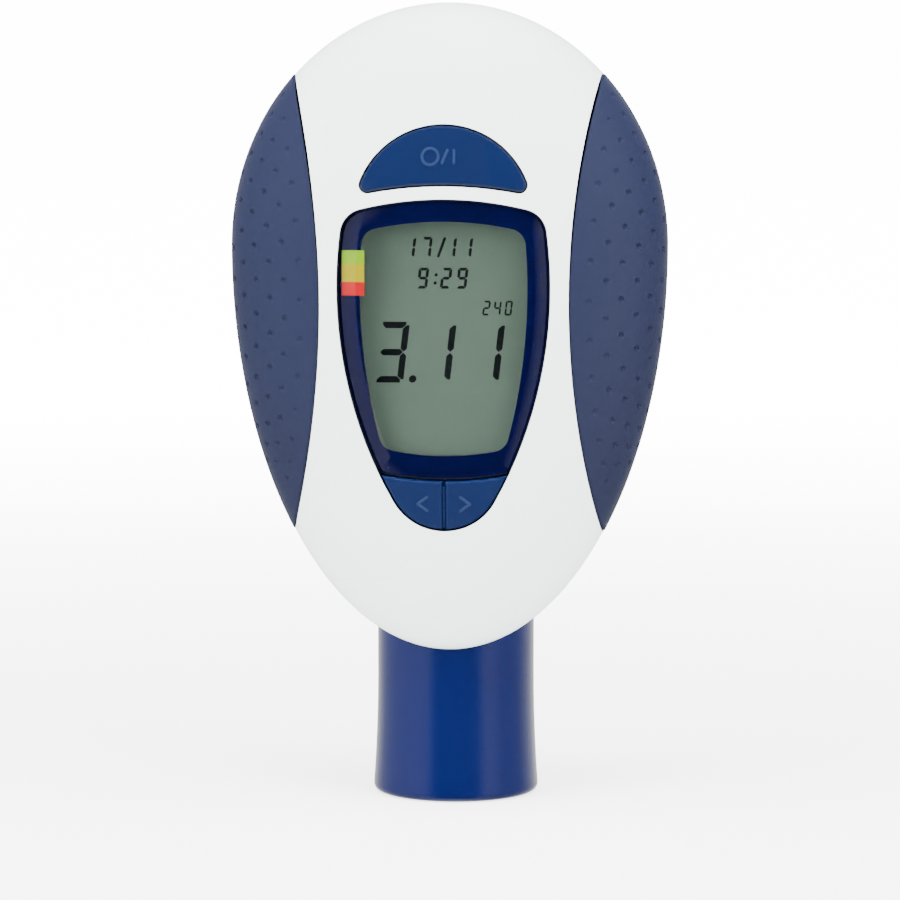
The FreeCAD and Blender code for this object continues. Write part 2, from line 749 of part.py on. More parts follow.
def arc_between(start, end, radius):
    """An arc that bulges to the right of its way when its radius is positive."""
    chord = end - start
    left = Vector(-chord.y, chord.x, 0).normalize()
    rise = math.copysign(math.sqrt(radius ** 2 - chord.Length ** 2 / 4), radius)
    centre = (start + end) / 2 + left * rise
    arms = [start - centre, end - centre] if radius > 0 else [end - centre, start - centre]
    first, last = [math.atan2(arm.y, arm.x) for arm in arms]
    if last < first:
        last += 2 * math.pi
    return Part.ArcOfCircle(Part.Circle(centre, Vector(0, 0, 1), abs(radius)), first, last)


def revolved(name, points):
    """A body turned round the tube axis from a closed profile of (radius, level) formulas.

    A third entry makes the side that ends at that point an arc of that radius,
    hollow when it is negative."""
    body = doc.addObject("PartDesign::Body", name)
    sketch = body.newObject("Sketcher::SketchObject", f"{name}_profile")
    plane = [item for item in body.Origin.OriginFeatures if item.Role == "XZ_Plane"][0]
    sketch.AttachmentSupport = (plane, "")
    sketch.MapMode = "FlatFace"
    spots = [Vector(size(point[0]), size(point[1]), 0) for point in points]
    ends = []
    for number, point in enumerate(points):
        start, end = spots[number - 1], spots[number]
        radius = size(point[2]) if len(point) > 2 else 0
        sketch.addGeometry(arc_between(start, end, radius) if radius else Part.LineSegment(start, end))
        ends.append((2, 1) if radius < 0 else (1, 2))
    for number, point in enumerate(points):
        last = ends[number][1]
        following = (number + 1) % len(points)
        meeting = (number, last, following, ends[following][0])
        sketch.addConstraint(Sketcher.Constraint("Coincident", *meeting))
        spot = spots[number]
        for kind, text, value in (("DistanceX", point[0], spot.x), ("DistanceY", point[1], spot.y)):
            if abs(value) < 1e-6:
                axis = -2 if kind == "DistanceX" else -1
                sketch.addConstraint(Sketcher.Constraint("PointOnObject", number, last, axis))
                continue
            index = sketch.addConstraint(Sketcher.Constraint(kind, -1, 1, number, last, value))
            bind(sketch, f"Constraints[{index}]", text)
        if len(point) > 2:
            index = sketch.addConstraint(Sketcher.Constraint("Radius", number, abs(size(point[2]))))
            bind(sketch, f"Constraints[{index}]", f"abs({point[2]})")
    turned = body.newObject("PartDesign::Revolution", f"{name}_turned")
    turned.Profile = sketch
    turned.ReferenceAxis = (sketch, ["V_Axis"])
    turned.Angle = 360
    body.Tip = turned
    return body


def make_tube():
    """Clear measuring tube with its two seal rings, and the blue mouthpiece."""
    floor = "tube_radius - seal_depth"
    grooves = []
    for level in ("seal_low", "seal_high"):
        edges = (f"{level} - seal_width / 2", f"{level} + seal_width / 2")
        grooves += [("tube_radius", edges[0]), (floor, edges[0])]
        grooves += [(floor, edges[1]), ("tube_radius", edges[1])]
    body = revolved("tube_body", [
        ("tube_bore", "tube_bottom"),
        ("tube_radius - tube_chamfer", "tube_bottom"),
        ("tube_radius", "tube_bottom + tube_chamfer"),
        *grooves,
        ("tube_radius", "tube_top - tube_lead"),
        ("tube_radius - tube_lead", "tube_top"),
        ("tube_bore", "tube_top"),
    ])
    node("measuring_tube", body)
    seals = []
    for level in ("seal_low", "seal_high"):
        seals.append(primitive("Torus", f"{level}_ring", ("0", "0", level), Radius2="seal_radius",
                               Radius1="tube_radius - seal_depth + seal_radius + fit_gap"))
    node("seal_rings", group("seal_rings", seals))
    rim = f"({WAIST_RADIUS} + mouth_flare)"
    slope = "(mouth_flare_height^2 + mouth_flare^2) / (2 * mouth_flare)"
    body = revolved("mouthpiece_body", [
        ("mouth_bore", "0"),
        (f"{rim} - mouth_lip", "0"),
        (rim, "mouth_lip", "mouth_lip"),
        (WAIST_RADIUS, "mouth_lip + mouth_flare_height", f"-{slope}"),
        (WAIST_RADIUS, "mouth_top - mouth_chamfer"),
        (f"{WAIST_RADIUS} - mouth_chamfer", "mouth_top"),
        ("tube_radius + socket_gap", "mouth_top"),
        ("tube_radius + socket_gap", "tube_bottom - seat"),
        ("mouth_bore", "tube_bottom - seat"),
    ])
    node("mouthpiece", body)


def make_stator(name, low, up):
    """A ring with a hub and inclined vanes; the hub holds the shaft's bearing."""
    rim = "(tube_bore - seat)"
    ring = without(f"{name}_ring", rod(f"{name}_ring_outer", rim, ("0", "0", low), "stator_height"),
                   rod(f"{name}_ring_inner", f"{rim} - stator_rim", ("0", "0", low), "stator_height"))
    hub = rod(f"{name}_hub", "stator_hub", ("0", "0", low), "stator_height")
    slab = rod(f"{name}_slab", rim, ("0", "0", low), "stator_height")
    tilt = Rotation(Vector(1, 0, 0), size("vane_pitch") * up)
    vanes = []
    for number in range(STATOR_VANES):
        blade = box(f"{name}_blade_{number}", ("0", "-vane_thickness / 2", "-stator_height"),
                    (f"{rim} - stator_rim / 2", "vane_thickness / 2", "stator_height"))
        vane = group(f"{name}_vane_{number}", [blade])
        vane.Placement.Rotation = Rotation(Vector(0, 0, 1), 360 / STATOR_VANES * number) * tilt
        bind(vane, "Placement.Base.z", f"{low} + stator_height / 2")
        vanes.append(vane)
    swirl = shared(f"{name}_swirl", joined(f"{name}_vanes", *vanes), slab)
    pocket = f"{low} + stator_height - bearing_length" if up > 0 else low
    socket = rod(f"{name}_pocket", "bearing_radius + fit_gap", ("0", "0", pocket), "bearing_length")
    node(name, without(name, joined(f"{name}_solid", ring, hub, swirl), socket))
    race = rod(f"{name}_race", "bearing_radius", ("0", "0", pocket), "bearing_length")
    bore = rod(f"{name}_race_bore", "shaft_radius + fit_gap", ("0", "0", pocket), "bearing_length")
    return without(f"{name}_bearing", race, bore)


def make_turbine():
    """Two stators that make the air swirl, and the vane that it turns."""
    half = "(rotor_height / 2 + rotor_gap)"
    low = f"rotor_level - {half} - stator_height"
    high = f"rotor_level + {half}"
    bearings = [make_stator("inlet_stator", low, 1), make_stator("outlet_stator", high, -1)]
    node("rotor_bearings", group("rotor_bearings", bearings))
    vane = box("rotor_blade", ("-rotor_half", "-rotor_thickness / 2", "rotor_level - rotor_height / 2"),
               ("rotor_half", "rotor_thickness / 2", "rotor_level + rotor_height / 2"))
    hub = rod("rotor_hub", "2 * shaft_radius", ("0", "0", "rotor_level - rotor_height / 2"), "rotor_height")
    shaft_hole = rod("rotor_hole", "shaft_radius", ("0", "0", "0"), "tube_top")
    node("rotor_vane", without("rotor_vane", joined("rotor_blank", vane, hub), shaft_hole))
    end = "(bearing_length - seat)"
    node("rotor_shaft", rod("rotor_shaft", "shaft_radius", ("0", "0", f"rotor_level - {half} - {end}"),
                            f"2 * ({half} + {end})"))


def make_sensor():
    """Curved bracket in front of the sleeve with the infrared emitters and detectors."""
    inner = f"({SLEEVE_RADIUS} + seat)"
    outer = f"({inner} + bracket_thickness)"
    low = "rotor_level - bracket_height / 2"
    ring = without("bracket_ring", rod("bracket_outer", outer, ("0", "0", low), "bracket_height"),
                   rod("bracket_inner", inner, ("0", "0", low), "bracket_height"))
    front = box("bracket_field", ("-half_width", f"-{REACH}", low),
                ("half_width", f"-{outer} * cos(bracket_reach)", f"{low} + bracket_height"))
    holes = []
    for sign, name in ((-1, "ir_emitters"), (1, "ir_detectors")):
        lamps = []
        for number in range(2):
            angle = math.radians(270 + sign * size(f"sensor_angle - {number} * sensor_step"))
            heading = Vector(math.cos(angle), math.sin(angle), 0)
            turn = Rotation(Vector(0, 0, 1), heading)
            cosine, sine = round(heading.x, 9), round(heading.y, 9)
            at = (f"{inner} * {cosine}", f"{inner} * {sine}", "rotor_level")
            lamps.append(rod(f"{name}_{number}", "sensor_radius", at, "sensor_length", turn))
            holes.append(rod(f"{name}_hole_{number}", "sensor_radius + seat", at, "sensor_length", turn))
        node(name, group(name, lamps))
    node("sensor_bracket", without("sensor_bracket", shared("bracket_arc", ring, front), *holes))


def check(obj):
    """Stop when an object of the document has failed."""
    bad = [state for state in obj.State if state in ("Invalid", "Error")]
    if bad:
        raise RuntimeError(f"{obj.Label}: {obj.State}")


make_front_cover()
make_rear_cover()
make_grips()
make_window()
make_buttons()
make_display()
make_board_parts()
make_screws()
make_chassis()
make_cells()
make_tube()
make_turbine()
make_sensor()
doc.recompute()

for item in doc.Objects:
    check(item)
for label, item in nodes.items():
    if item.Shape.isNull() or not item.Shape.isValid() or not item.Shape.Solids:
        raise RuntimeError(f"{label} has no valid solid")

os.makedirs("parts", exist_ok=True)
for label, item in nodes.items():
    item.Shape.exportStep(f"parts/{label}.step")
    print(f"{label:18} {len(item.Shape.Solids)} solids {item.Shape.Volume:10.1f} mm3")
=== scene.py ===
"""Looks of a hand-held electronic peak flow meter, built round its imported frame."""

import math

import bmesh
import bpy
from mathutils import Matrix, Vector
from mathutils.bvhtree import BVHTree
from mathutils.geometry import delaunay_2d_cdt
from mathutils.kdtree import KDTree


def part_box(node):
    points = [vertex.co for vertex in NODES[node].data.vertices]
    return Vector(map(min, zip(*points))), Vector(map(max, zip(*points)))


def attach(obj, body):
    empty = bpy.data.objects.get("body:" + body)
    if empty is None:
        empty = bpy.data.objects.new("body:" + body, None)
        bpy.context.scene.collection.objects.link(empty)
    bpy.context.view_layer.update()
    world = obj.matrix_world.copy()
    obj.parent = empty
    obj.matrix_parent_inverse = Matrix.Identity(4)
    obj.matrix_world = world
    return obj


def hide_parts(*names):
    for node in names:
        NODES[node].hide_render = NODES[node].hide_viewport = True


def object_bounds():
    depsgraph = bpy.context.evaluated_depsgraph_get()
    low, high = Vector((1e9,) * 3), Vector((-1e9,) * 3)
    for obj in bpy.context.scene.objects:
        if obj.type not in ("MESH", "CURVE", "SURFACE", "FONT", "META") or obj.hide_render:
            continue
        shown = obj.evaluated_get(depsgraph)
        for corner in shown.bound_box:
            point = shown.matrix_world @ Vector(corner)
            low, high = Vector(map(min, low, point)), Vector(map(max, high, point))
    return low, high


bl_info = {
    "name": "Peak Flow Meter",
    "version": (1, 0, 0),
    "blender": (4, 5, 0),
    "location": "View3D > Sidebar > Peak Flow",
    "description": "Dresses the packed frame of a hand-held peak flow meter",
    "category": "Object",
}

MM = 0.001

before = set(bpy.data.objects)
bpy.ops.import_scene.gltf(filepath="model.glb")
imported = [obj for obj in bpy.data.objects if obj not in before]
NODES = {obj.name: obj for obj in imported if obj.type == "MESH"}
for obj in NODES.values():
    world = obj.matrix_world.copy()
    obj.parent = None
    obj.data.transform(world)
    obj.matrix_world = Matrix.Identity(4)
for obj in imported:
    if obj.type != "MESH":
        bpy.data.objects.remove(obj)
CAD_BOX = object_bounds()


def length_property(name, description, millimetres):
    """A setting for a size."""
    return bpy.props.FloatProperty(
        name=name, description=description, default=millimetres * MM, subtype="DISTANCE", unit="LENGTH")


def colour_property(name, description, default):
    """A setting for a colour."""
    return bpy.props.FloatVectorProperty(
        name=name, description=description, default=default, size=3, subtype="COLOR")


class MeterSizes(bpy.types.PropertyGroup):
    """Sizes of the details that are modelled here."""

    widest_level: length_property("Widest level", "Height at which the housing is widest", 97.8)
    grip_level: length_property("Grip level", "Height of the middle of the side grips", 88.5)
    grip_front_edge: length_property("Grip front edge", "Half the gap between the grips on the front", 21.5)
    grip_front_radius: length_property("Grip front radius", "Radius of the grips' edge on the front", 150)
    grip_back_edge: length_property("Grip back edge", "Half the gap between the grips on the back", 30.5)
    grip_proud: length_property("Grip proud", "How far the soft grips stand out of the covers", 0.16)
    grip_gap: length_property(
        "Grip gap", "How much the groove beside the grip widens towards its upper tip", 0.3)
    grip_depth: length_property("Grip depth", "Thickness of the soft grips", 1.35)
    grip_shoulder: length_property("Grip shoulder", "Radius of the grips' rounded edge", 0.35)
    dimple_radius: length_property("Dimple radius", "Radius of a dimple's lip", 0.62)
    dimple_depth: length_property("Dimple depth", "Depth of a dimple", 0.45)
    dimple_fade: bpy.props.FloatProperty(
        name="Dimple fade", description="Share of the depth that the dimples beside the front edge lose",
        default=0.5, subtype="FACTOR")
    dimple_margin: length_property(
        "Dimple margin", "Bare strip between the front edge and the first column", 3.3)
    dimple_pitch: length_property("Dimple pitch", "Distance from one column of dimples to the next", 2.95)
    dimple_middle: length_property("Dimple middle", "Height of the middle row of dimples", 92.2)
    dimple_reach: length_property(
        "Dimple reach", "Radius of the arc that the rows of dimples are spaced on", 37)
    dimple_step: bpy.props.FloatProperty(
        name="Dimple step", description="Turn from one row of dimples to the next",
        default=math.radians(10.6), subtype="ANGLE", unit="ROTATION")


class LensSizes(bpy.types.PropertyGroup):
    """Outline and rolled edge of the clear window."""

    half: length_property("Half width", "Half the window's greatest width", 17.95)
    level: length_property("Level", "Height at which the window is widest", 90.9)
    side_radius: length_property("Side radius", "Radius of the window's sides", 74.7)
    top: length_property("Top", "Height of the window's top", 105.8)
    top_radius: length_property("Top radius", "Radius of the window's top", 59.0)
    bottom: length_property("Bottom", "Height of the window's bottom", 58.5)
    bottom_radius: length_property("Bottom radius", "Radius of the window's bottom", 59.7)
    corner: length_property("Corner", "Radius of the window's upper corners", 4.2)
    roll_width: length_property("Roll width", "Width of the rolled edge", 3.0)
    roll_depth: length_property("Roll depth", "Drop of the rolled edge", 0.7)
    thickness: length_property("Thickness", "Thickness of the window", 1.15)


class MeterColours(bpy.types.PropertyGroup):
    """Colours of the visible pieces."""

    shell: colour_property("Shell", "White moulded housing", (0.80, 0.865, 0.85))
    grip: colour_property("Grip", "Soft navy side grips", (0.0078, 0.0105, 0.031))
    button: colour_property("Button", "Blue power button", (0.0008, 0.0058, 0.035))
    key: colour_property("Key", "Blue arrow keys", (0.0008, 0.0068, 0.040))
    # A lighter copy of the buttons' blue: painted highlight on the raised marks
    mark: colour_property("Mark", "Raised marks of the buttons", (0.008, 0.019, 0.058))
    border: colour_property("Border", "Navy print behind the window", (0.0004, 0.0008, 0.019))
    # Also the colour of the display's painted glow
    display: colour_property("Display", "Grey-green liquid crystal", (0.0385, 0.054, 0.0425))
    tube: colour_property("Mouthpiece", "Blue mouthpiece", (0.0002, 0.0034, 0.047))


class MeterStage(bpy.types.PropertyGroup):
    """Camera, lamps and floor."""

    distance: length_property("Distance", "Distance from the camera to the tube's axis", 650)
    azimuth: bpy.props.FloatProperty(
        name="Azimuth", description="Turn of the camera round the tube's axis",
        default=math.radians(4.5), subtype="ANGLE", unit="ROTATION")
    height: length_property("Height", "Height of the camera", 117)
    aim_level: length_property("Aim level", "Height that the camera looks at", 61)
    aim_side: length_property("Aim side", "How far to the left of the axis the camera looks", 1.07)
    lens: bpy.props.FloatProperty(
        name="Lens", description="Focal length in millimetres", default=146.4)
    backdrop: bpy.props.FloatProperty(
        name="Backdrop", description="Brightness of the white backdrop", default=15.0)
    sheen: bpy.props.FloatProperty(
        name="Sheen", description="Brightness of the side walls in reflections", default=3.0)
    soft_boxes: bpy.props.FloatProperty(
        name="Soft boxes", description="Power of each soft box", default=25.0, unit="POWER")


def settings(name):
    """One of the property groups of this scene."""
    return getattr(bpy.context.scene, name)


# Surface effects that several materials share


def new_group(name, inputs, outputs):
    """An empty shader node group with its sockets, and its tree's two ends."""
    tree = bpy.data.node_groups.new(name, "ShaderNodeTree")
    for label, kind, default in inputs:
        socket = tree.interface.new_socket(label, in_out="INPUT", socket_type=f"NodeSocket{kind}")
        socket.default_value = default
    for label, kind in outputs:
        tree.interface.new_socket(label, in_out="OUTPUT", socket_type=f"NodeSocket{kind}")
    return tree, tree.nodes.new("NodeGroupInput"), tree.nodes.new("NodeGroupOutput")


def wire(tree, value, socket):
    """Join one socket to another, or give it a fixed value."""
    if isinstance(value, bpy.types.NodeSocket):
        tree.links.new(value, socket)
    else:
        socket.default_value = value


def maths(tree, operation, *values):
    """A Math node whose inputs are sockets or numbers."""
    item = tree.nodes.new("ShaderNodeMath")
    item.operation = operation
    for socket, value in zip(item.inputs, values):
        wire(tree, value, socket)
    return item.outputs["Value"]


def noise(tree, position, scale, detail=3.0):
    """Noise over the surface."""
    item = tree.nodes.new("ShaderNodeTexNoise")
    for label, value in (("Vector", position), ("Scale", scale), ("Detail", detail)):
        wire(tree, value, item.inputs[label])
    return item.outputs["Fac"]


def blend_colours(tree, share, low, high):
    """A colour between two others; a Mix node's colours go in at sockets 6 and 7 and out at 2."""
    item = tree.nodes.new("ShaderNodeMix")
    item.data_type = "RGBA"
    for number, value in ((0, share), (6, low), (7, high)):
        wire(tree, value, item.inputs[number])
    return item.outputs[2]


def smooth_fade(tree, value, start, end, low, high):
    """A value that goes smoothly from low to high while another goes from start to end."""
    item = tree.nodes.new("ShaderNodeMapRange")
    item.interpolation_type = "SMOOTHSTEP"
    labels = ("Value", "From Min", "From Max", "To Min", "To Max")
    for label, amount in zip(labels, (value, start, end, low, high)):
        wire(tree, amount, item.inputs[label])
    return item.outputs["Result"]


def moulded_surface():
    """Group: the cloudy colour, uneven gloss and fine grain of moulded plastic."""
    tree, start, end = new_group(
        "moulded_surface",
        [("Position", "Vector", (0, 0, 0)), ("Colour", "Color", (0.5, 0.5, 0.5, 1)),
         ("Tint", "Color", (0.5, 0.5, 0.5, 1)), ("Cloud Scale", "Float", 40.0),
         ("Grain Scale", "Float", 2500.0), ("Gloss Low", "Float", 0.3), ("Gloss High", "Float", 0.4)],
        [("Colour", "Color"), ("Roughness", "Float"), ("Height", "Float")])
    cloud = noise(tree, start.outputs["Position"], start.outputs["Cloud Scale"])
    grain = noise(tree, start.outputs["Position"], start.outputs["Grain Scale"], 2.0)
    cloudy = blend_colours(tree, cloud, start.outputs["Colour"], start.outputs["Tint"])
    wire(tree, cloudy, end.inputs["Colour"])
    span = maths(tree, "SUBTRACT", start.outputs["Gloss High"], start.outputs["Gloss Low"])
    rough = maths(tree, "MULTIPLY_ADD", span, cloud, start.outputs["Gloss Low"])
    wire(tree, rough, end.inputs["Roughness"])
    wire(tree, grain, end.inputs["Height"])
    return tree


GROUPS = {}


def shared_group(maker):
    """A node group that is made once."""
    if maker.__name__ not in GROUPS:
        GROUPS[maker.__name__] = maker()
    return GROUPS[maker.__name__]


def rgba(colour):
    """A colour with full alpha."""
    return (*colour, 1.0)


def shade(colour, share):
    """A darker or lighter copy of a colour."""
    return tuple(min(1.0, value * share) for value in colour)


def new_material(name):
    """A material, its node tree and its main shader."""
    material = bpy.data.materials.new(name)
    material.use_nodes = True
    tree = material.node_tree
    return material, tree, tree.nodes["Principled BSDF"]


def let_through(tree, ray, tint=(1, 1, 1)):
    """Make a material clear to one kind of ray."""
    path = tree.nodes.new("ShaderNodeLightPath")
    through = tree.nodes.new("ShaderNodeBsdfTransparent")
    through.inputs["Color"].default_value = rgba(tint)
    mix = tree.nodes.new("ShaderNodeMixShader")
    wire(tree, path.outputs[ray], mix.inputs[0])
    wire(tree, tree.nodes["Principled BSDF"].outputs[0], mix.inputs[1])
    wire(tree, through.outputs[0], mix.inputs[2])
    wire(tree, mix.outputs[0], tree.nodes["Material Output"].inputs["Surface"])


def plastic(name, colour, gloss=(0.3, 0.4), tint=0.93, grain=(2500.0, 0.02), cloud=40.0, **sockets):
    """A moulded material: cloudy colour, uneven gloss and a fine bump, plus fixed shader sockets.

    The colour clouds over to a tint of itself, gloss is a range of roughness, and grain is a scale
    and a height in millimetres.
    """
    material, tree, shader = new_material(name)
    place = tree.nodes.new("ShaderNodeTexCoord")
    surface = tree.nodes.new("ShaderNodeGroup")
    surface.node_tree = shared_group(moulded_surface)
    wire(tree, place.outputs["Object"], surface.inputs["Position"])
    for label, value in (("Colour", rgba(colour)), ("Tint", rgba(shade(colour, tint))),
                         ("Cloud Scale", cloud), ("Grain Scale", grain[0]),
                         ("Gloss Low", gloss[0]), ("Gloss High", gloss[1])):
        surface.inputs[label].default_value = value
    bump = tree.nodes.new("ShaderNodeBump")
    bump.inputs["Strength"].default_value = 1.0
    bump.inputs["Distance"].default_value = grain[1] * MM
    wire(tree, surface.outputs["Height"], bump.inputs["Height"])
    wire(tree, surface.outputs["Colour"], shader.inputs["Base Color"])
    wire(tree, surface.outputs["Roughness"], shader.inputs["Roughness"])
    wire(tree, bump.outputs["Normal"], shader.inputs["Normal"])
    for socket, value in sockets.items():
        shader.inputs[socket.replace("_", " ")].default_value = value
    return material


def clear_plastic(name, tint=(0.97, 0.98, 0.98), roughness=0.02):
    """Clear moulded plastic that lets the lamps through to what lies behind it."""
    material, tree, shader = new_material(name)
    shader.inputs["Base Color"].default_value = rgba(tint)
    shader.inputs["Transmission Weight"].default_value = 1.0
    shader.inputs["IOR"].default_value = 1.49
    place = tree.nodes.new("ShaderNodeTexCoord")
    smear = noise(tree, place.outputs["Object"], 60.0)
    wire(tree, maths(tree, "MULTIPLY_ADD", smear, roughness, roughness / 2), shader.inputs["Roughness"])
    let_through(tree, "Is Shadow Ray", shade(tint, 0.95))
    return material


def metal(name, colour, gloss=(0.22, 0.38), brushed=900.0):
    """Plated or turned metal with fine scratches."""
    return plastic(name, colour, gloss, tint=0.85, grain=(brushed, 0.01), cloud=120.0, Metallic=1.0)


def dress(material, *names):
    """Give CAD nodes a material."""
    for name in names:
        mesh = NODES[name].data
        mesh.materials.clear()
        mesh.materials.append(material)


def paint(material, name, wanted):
    """Give the faces of a CAD node that a test on their middle picks out another material."""
    mesh = NODES[name].data
    mesh.materials.append(material)
    for face in mesh.polygons:
        if wanted(face.center):
            face.material_index = len(mesh.materials) - 1


def new_object(name, data):
    """An object in the scene."""
    item = bpy.data.objects.new(name, data)
    bpy.context.scene.collection.objects.link(item)
    return item


def add_piece(name, mesh, material, body):
    """A finished mesh as a piece that rides on a body."""
    mesh.materials.append(material)
    piece = new_object(name, mesh)
    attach(piece, body)
    return piece


def made_mesh(name, build):
    """The mesh that was built in a bmesh."""
    mesh = bpy.data.meshes.new(name)
    build.to_mesh(mesh)
    build.free()
    return mesh


# Forms


class Egg:
    """The housing's outer form: a front and a rear half ellipsoid on the parting plane."""

    def __init__(self, widest_level):
        low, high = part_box("front_cover")
        self.level = widest_level
        self.half_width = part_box("right_grip")[1].x
        self.crown = high.z - widest_level
        self.tail = widest_level - low.z
        self.split = high.y
        self.front = high.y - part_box("display_window")[0].y
        self.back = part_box("battery_door")[1].y - high.y

    def rise(self, z):
        """Reach of the form above or below its widest level."""
        return self.crown if z > self.level else self.tail

    def share(self, z):
        """Size of the level section at a height, as a share of the widest."""
        return math.sqrt(max(0.0, 1 - ((z - self.level) / self.rise(z)) ** 2))

    def bulge(self, y):
        """Depth of the half that a place belongs to."""
        return self.front if y < self.split else self.back

    def point(self, angle, z):
        """Point at an angle round a level section: 0 at the side, negative to the front."""
        share = self.share(z)
        bulge = self.front if angle < 0 else self.back
        x = self.half_width * share * math.cos(angle)
        return Vector((x, self.split + bulge * share * math.sin(angle), z))

    def normal(self, point):
        """Outward normal at a point of the surface."""
        away = Vector((point.x / self.half_width ** 2, (point.y - self.split) / self.bulge(point.y) ** 2,
                       (point.z - self.level) / self.rise(point.z) ** 2))
        return away.normalized()

    def place_of(self, point):
        """Angle and height of a point near the surface."""
        inward = (point.y - self.split) / self.bulge(point.y)
        return math.atan2(inward, point.x / self.half_width), point.z

    def front_point(self, x, z, inset=0.0):
        """Point of the front half at (x, z), on the surface or on one that lies inside it."""
        share = 1 - (x / (self.half_width - inset)) ** 2 - ((z - self.level) / (self.rise(z) - inset)) ** 2
        return Vector((x, self.split - (self.front - inset) * math.sqrt(share), z))

    def depth(self, point):
        """Distance of a point below the surface, measured at its own height."""
        return (self.point(*self.place_of(point)) - point).length

    def walk(self, angle, z, distance):
        """Angle that lies a distance further towards the back along a level section."""
        step = 0.1 * MM
        nudge = 0.001
        for _ in range(round(distance / step)):
            here = self.point(angle, z)
            ahead = self.point(angle + nudge, z)
            angle += nudge * step / (ahead - here).length
        return angle


def housing_egg():
    """The egg form at its set level."""
    return Egg(settings("meter_sizes").widest_level)


def root_between(function, low, high, halvings=50):
    """Where a function changes sign between two values."""
    rising = function(high) > 0
    for _ in range(halvings):
        middle = (low + high) / 2
        if (function(middle) > 0) == rising:
            high = middle
        else:
            low = middle
    return (low + high) / 2


def search_tree(points):
    """A tree that finds the nearest of some points."""
    tree = KDTree(len(points))
    for number, point in enumerate(points):
        tree.insert(point.to_3d(), number)
    tree.balance()
    return tree


def loop_distance(point, loop, tree):
    """Distance of a point from a closed line."""
    number = tree.find(point.to_3d())[1]
    here = loop[number]
    best = (point - here).length
    for other in (loop[number - 1], loop[(number + 1) % len(loop)]):
        along = other - here
        share = max(0.0, min(1.0, (point - here).dot(along) / along.length_squared))
        best = min(best, (point - here - along * share).length)
    return best


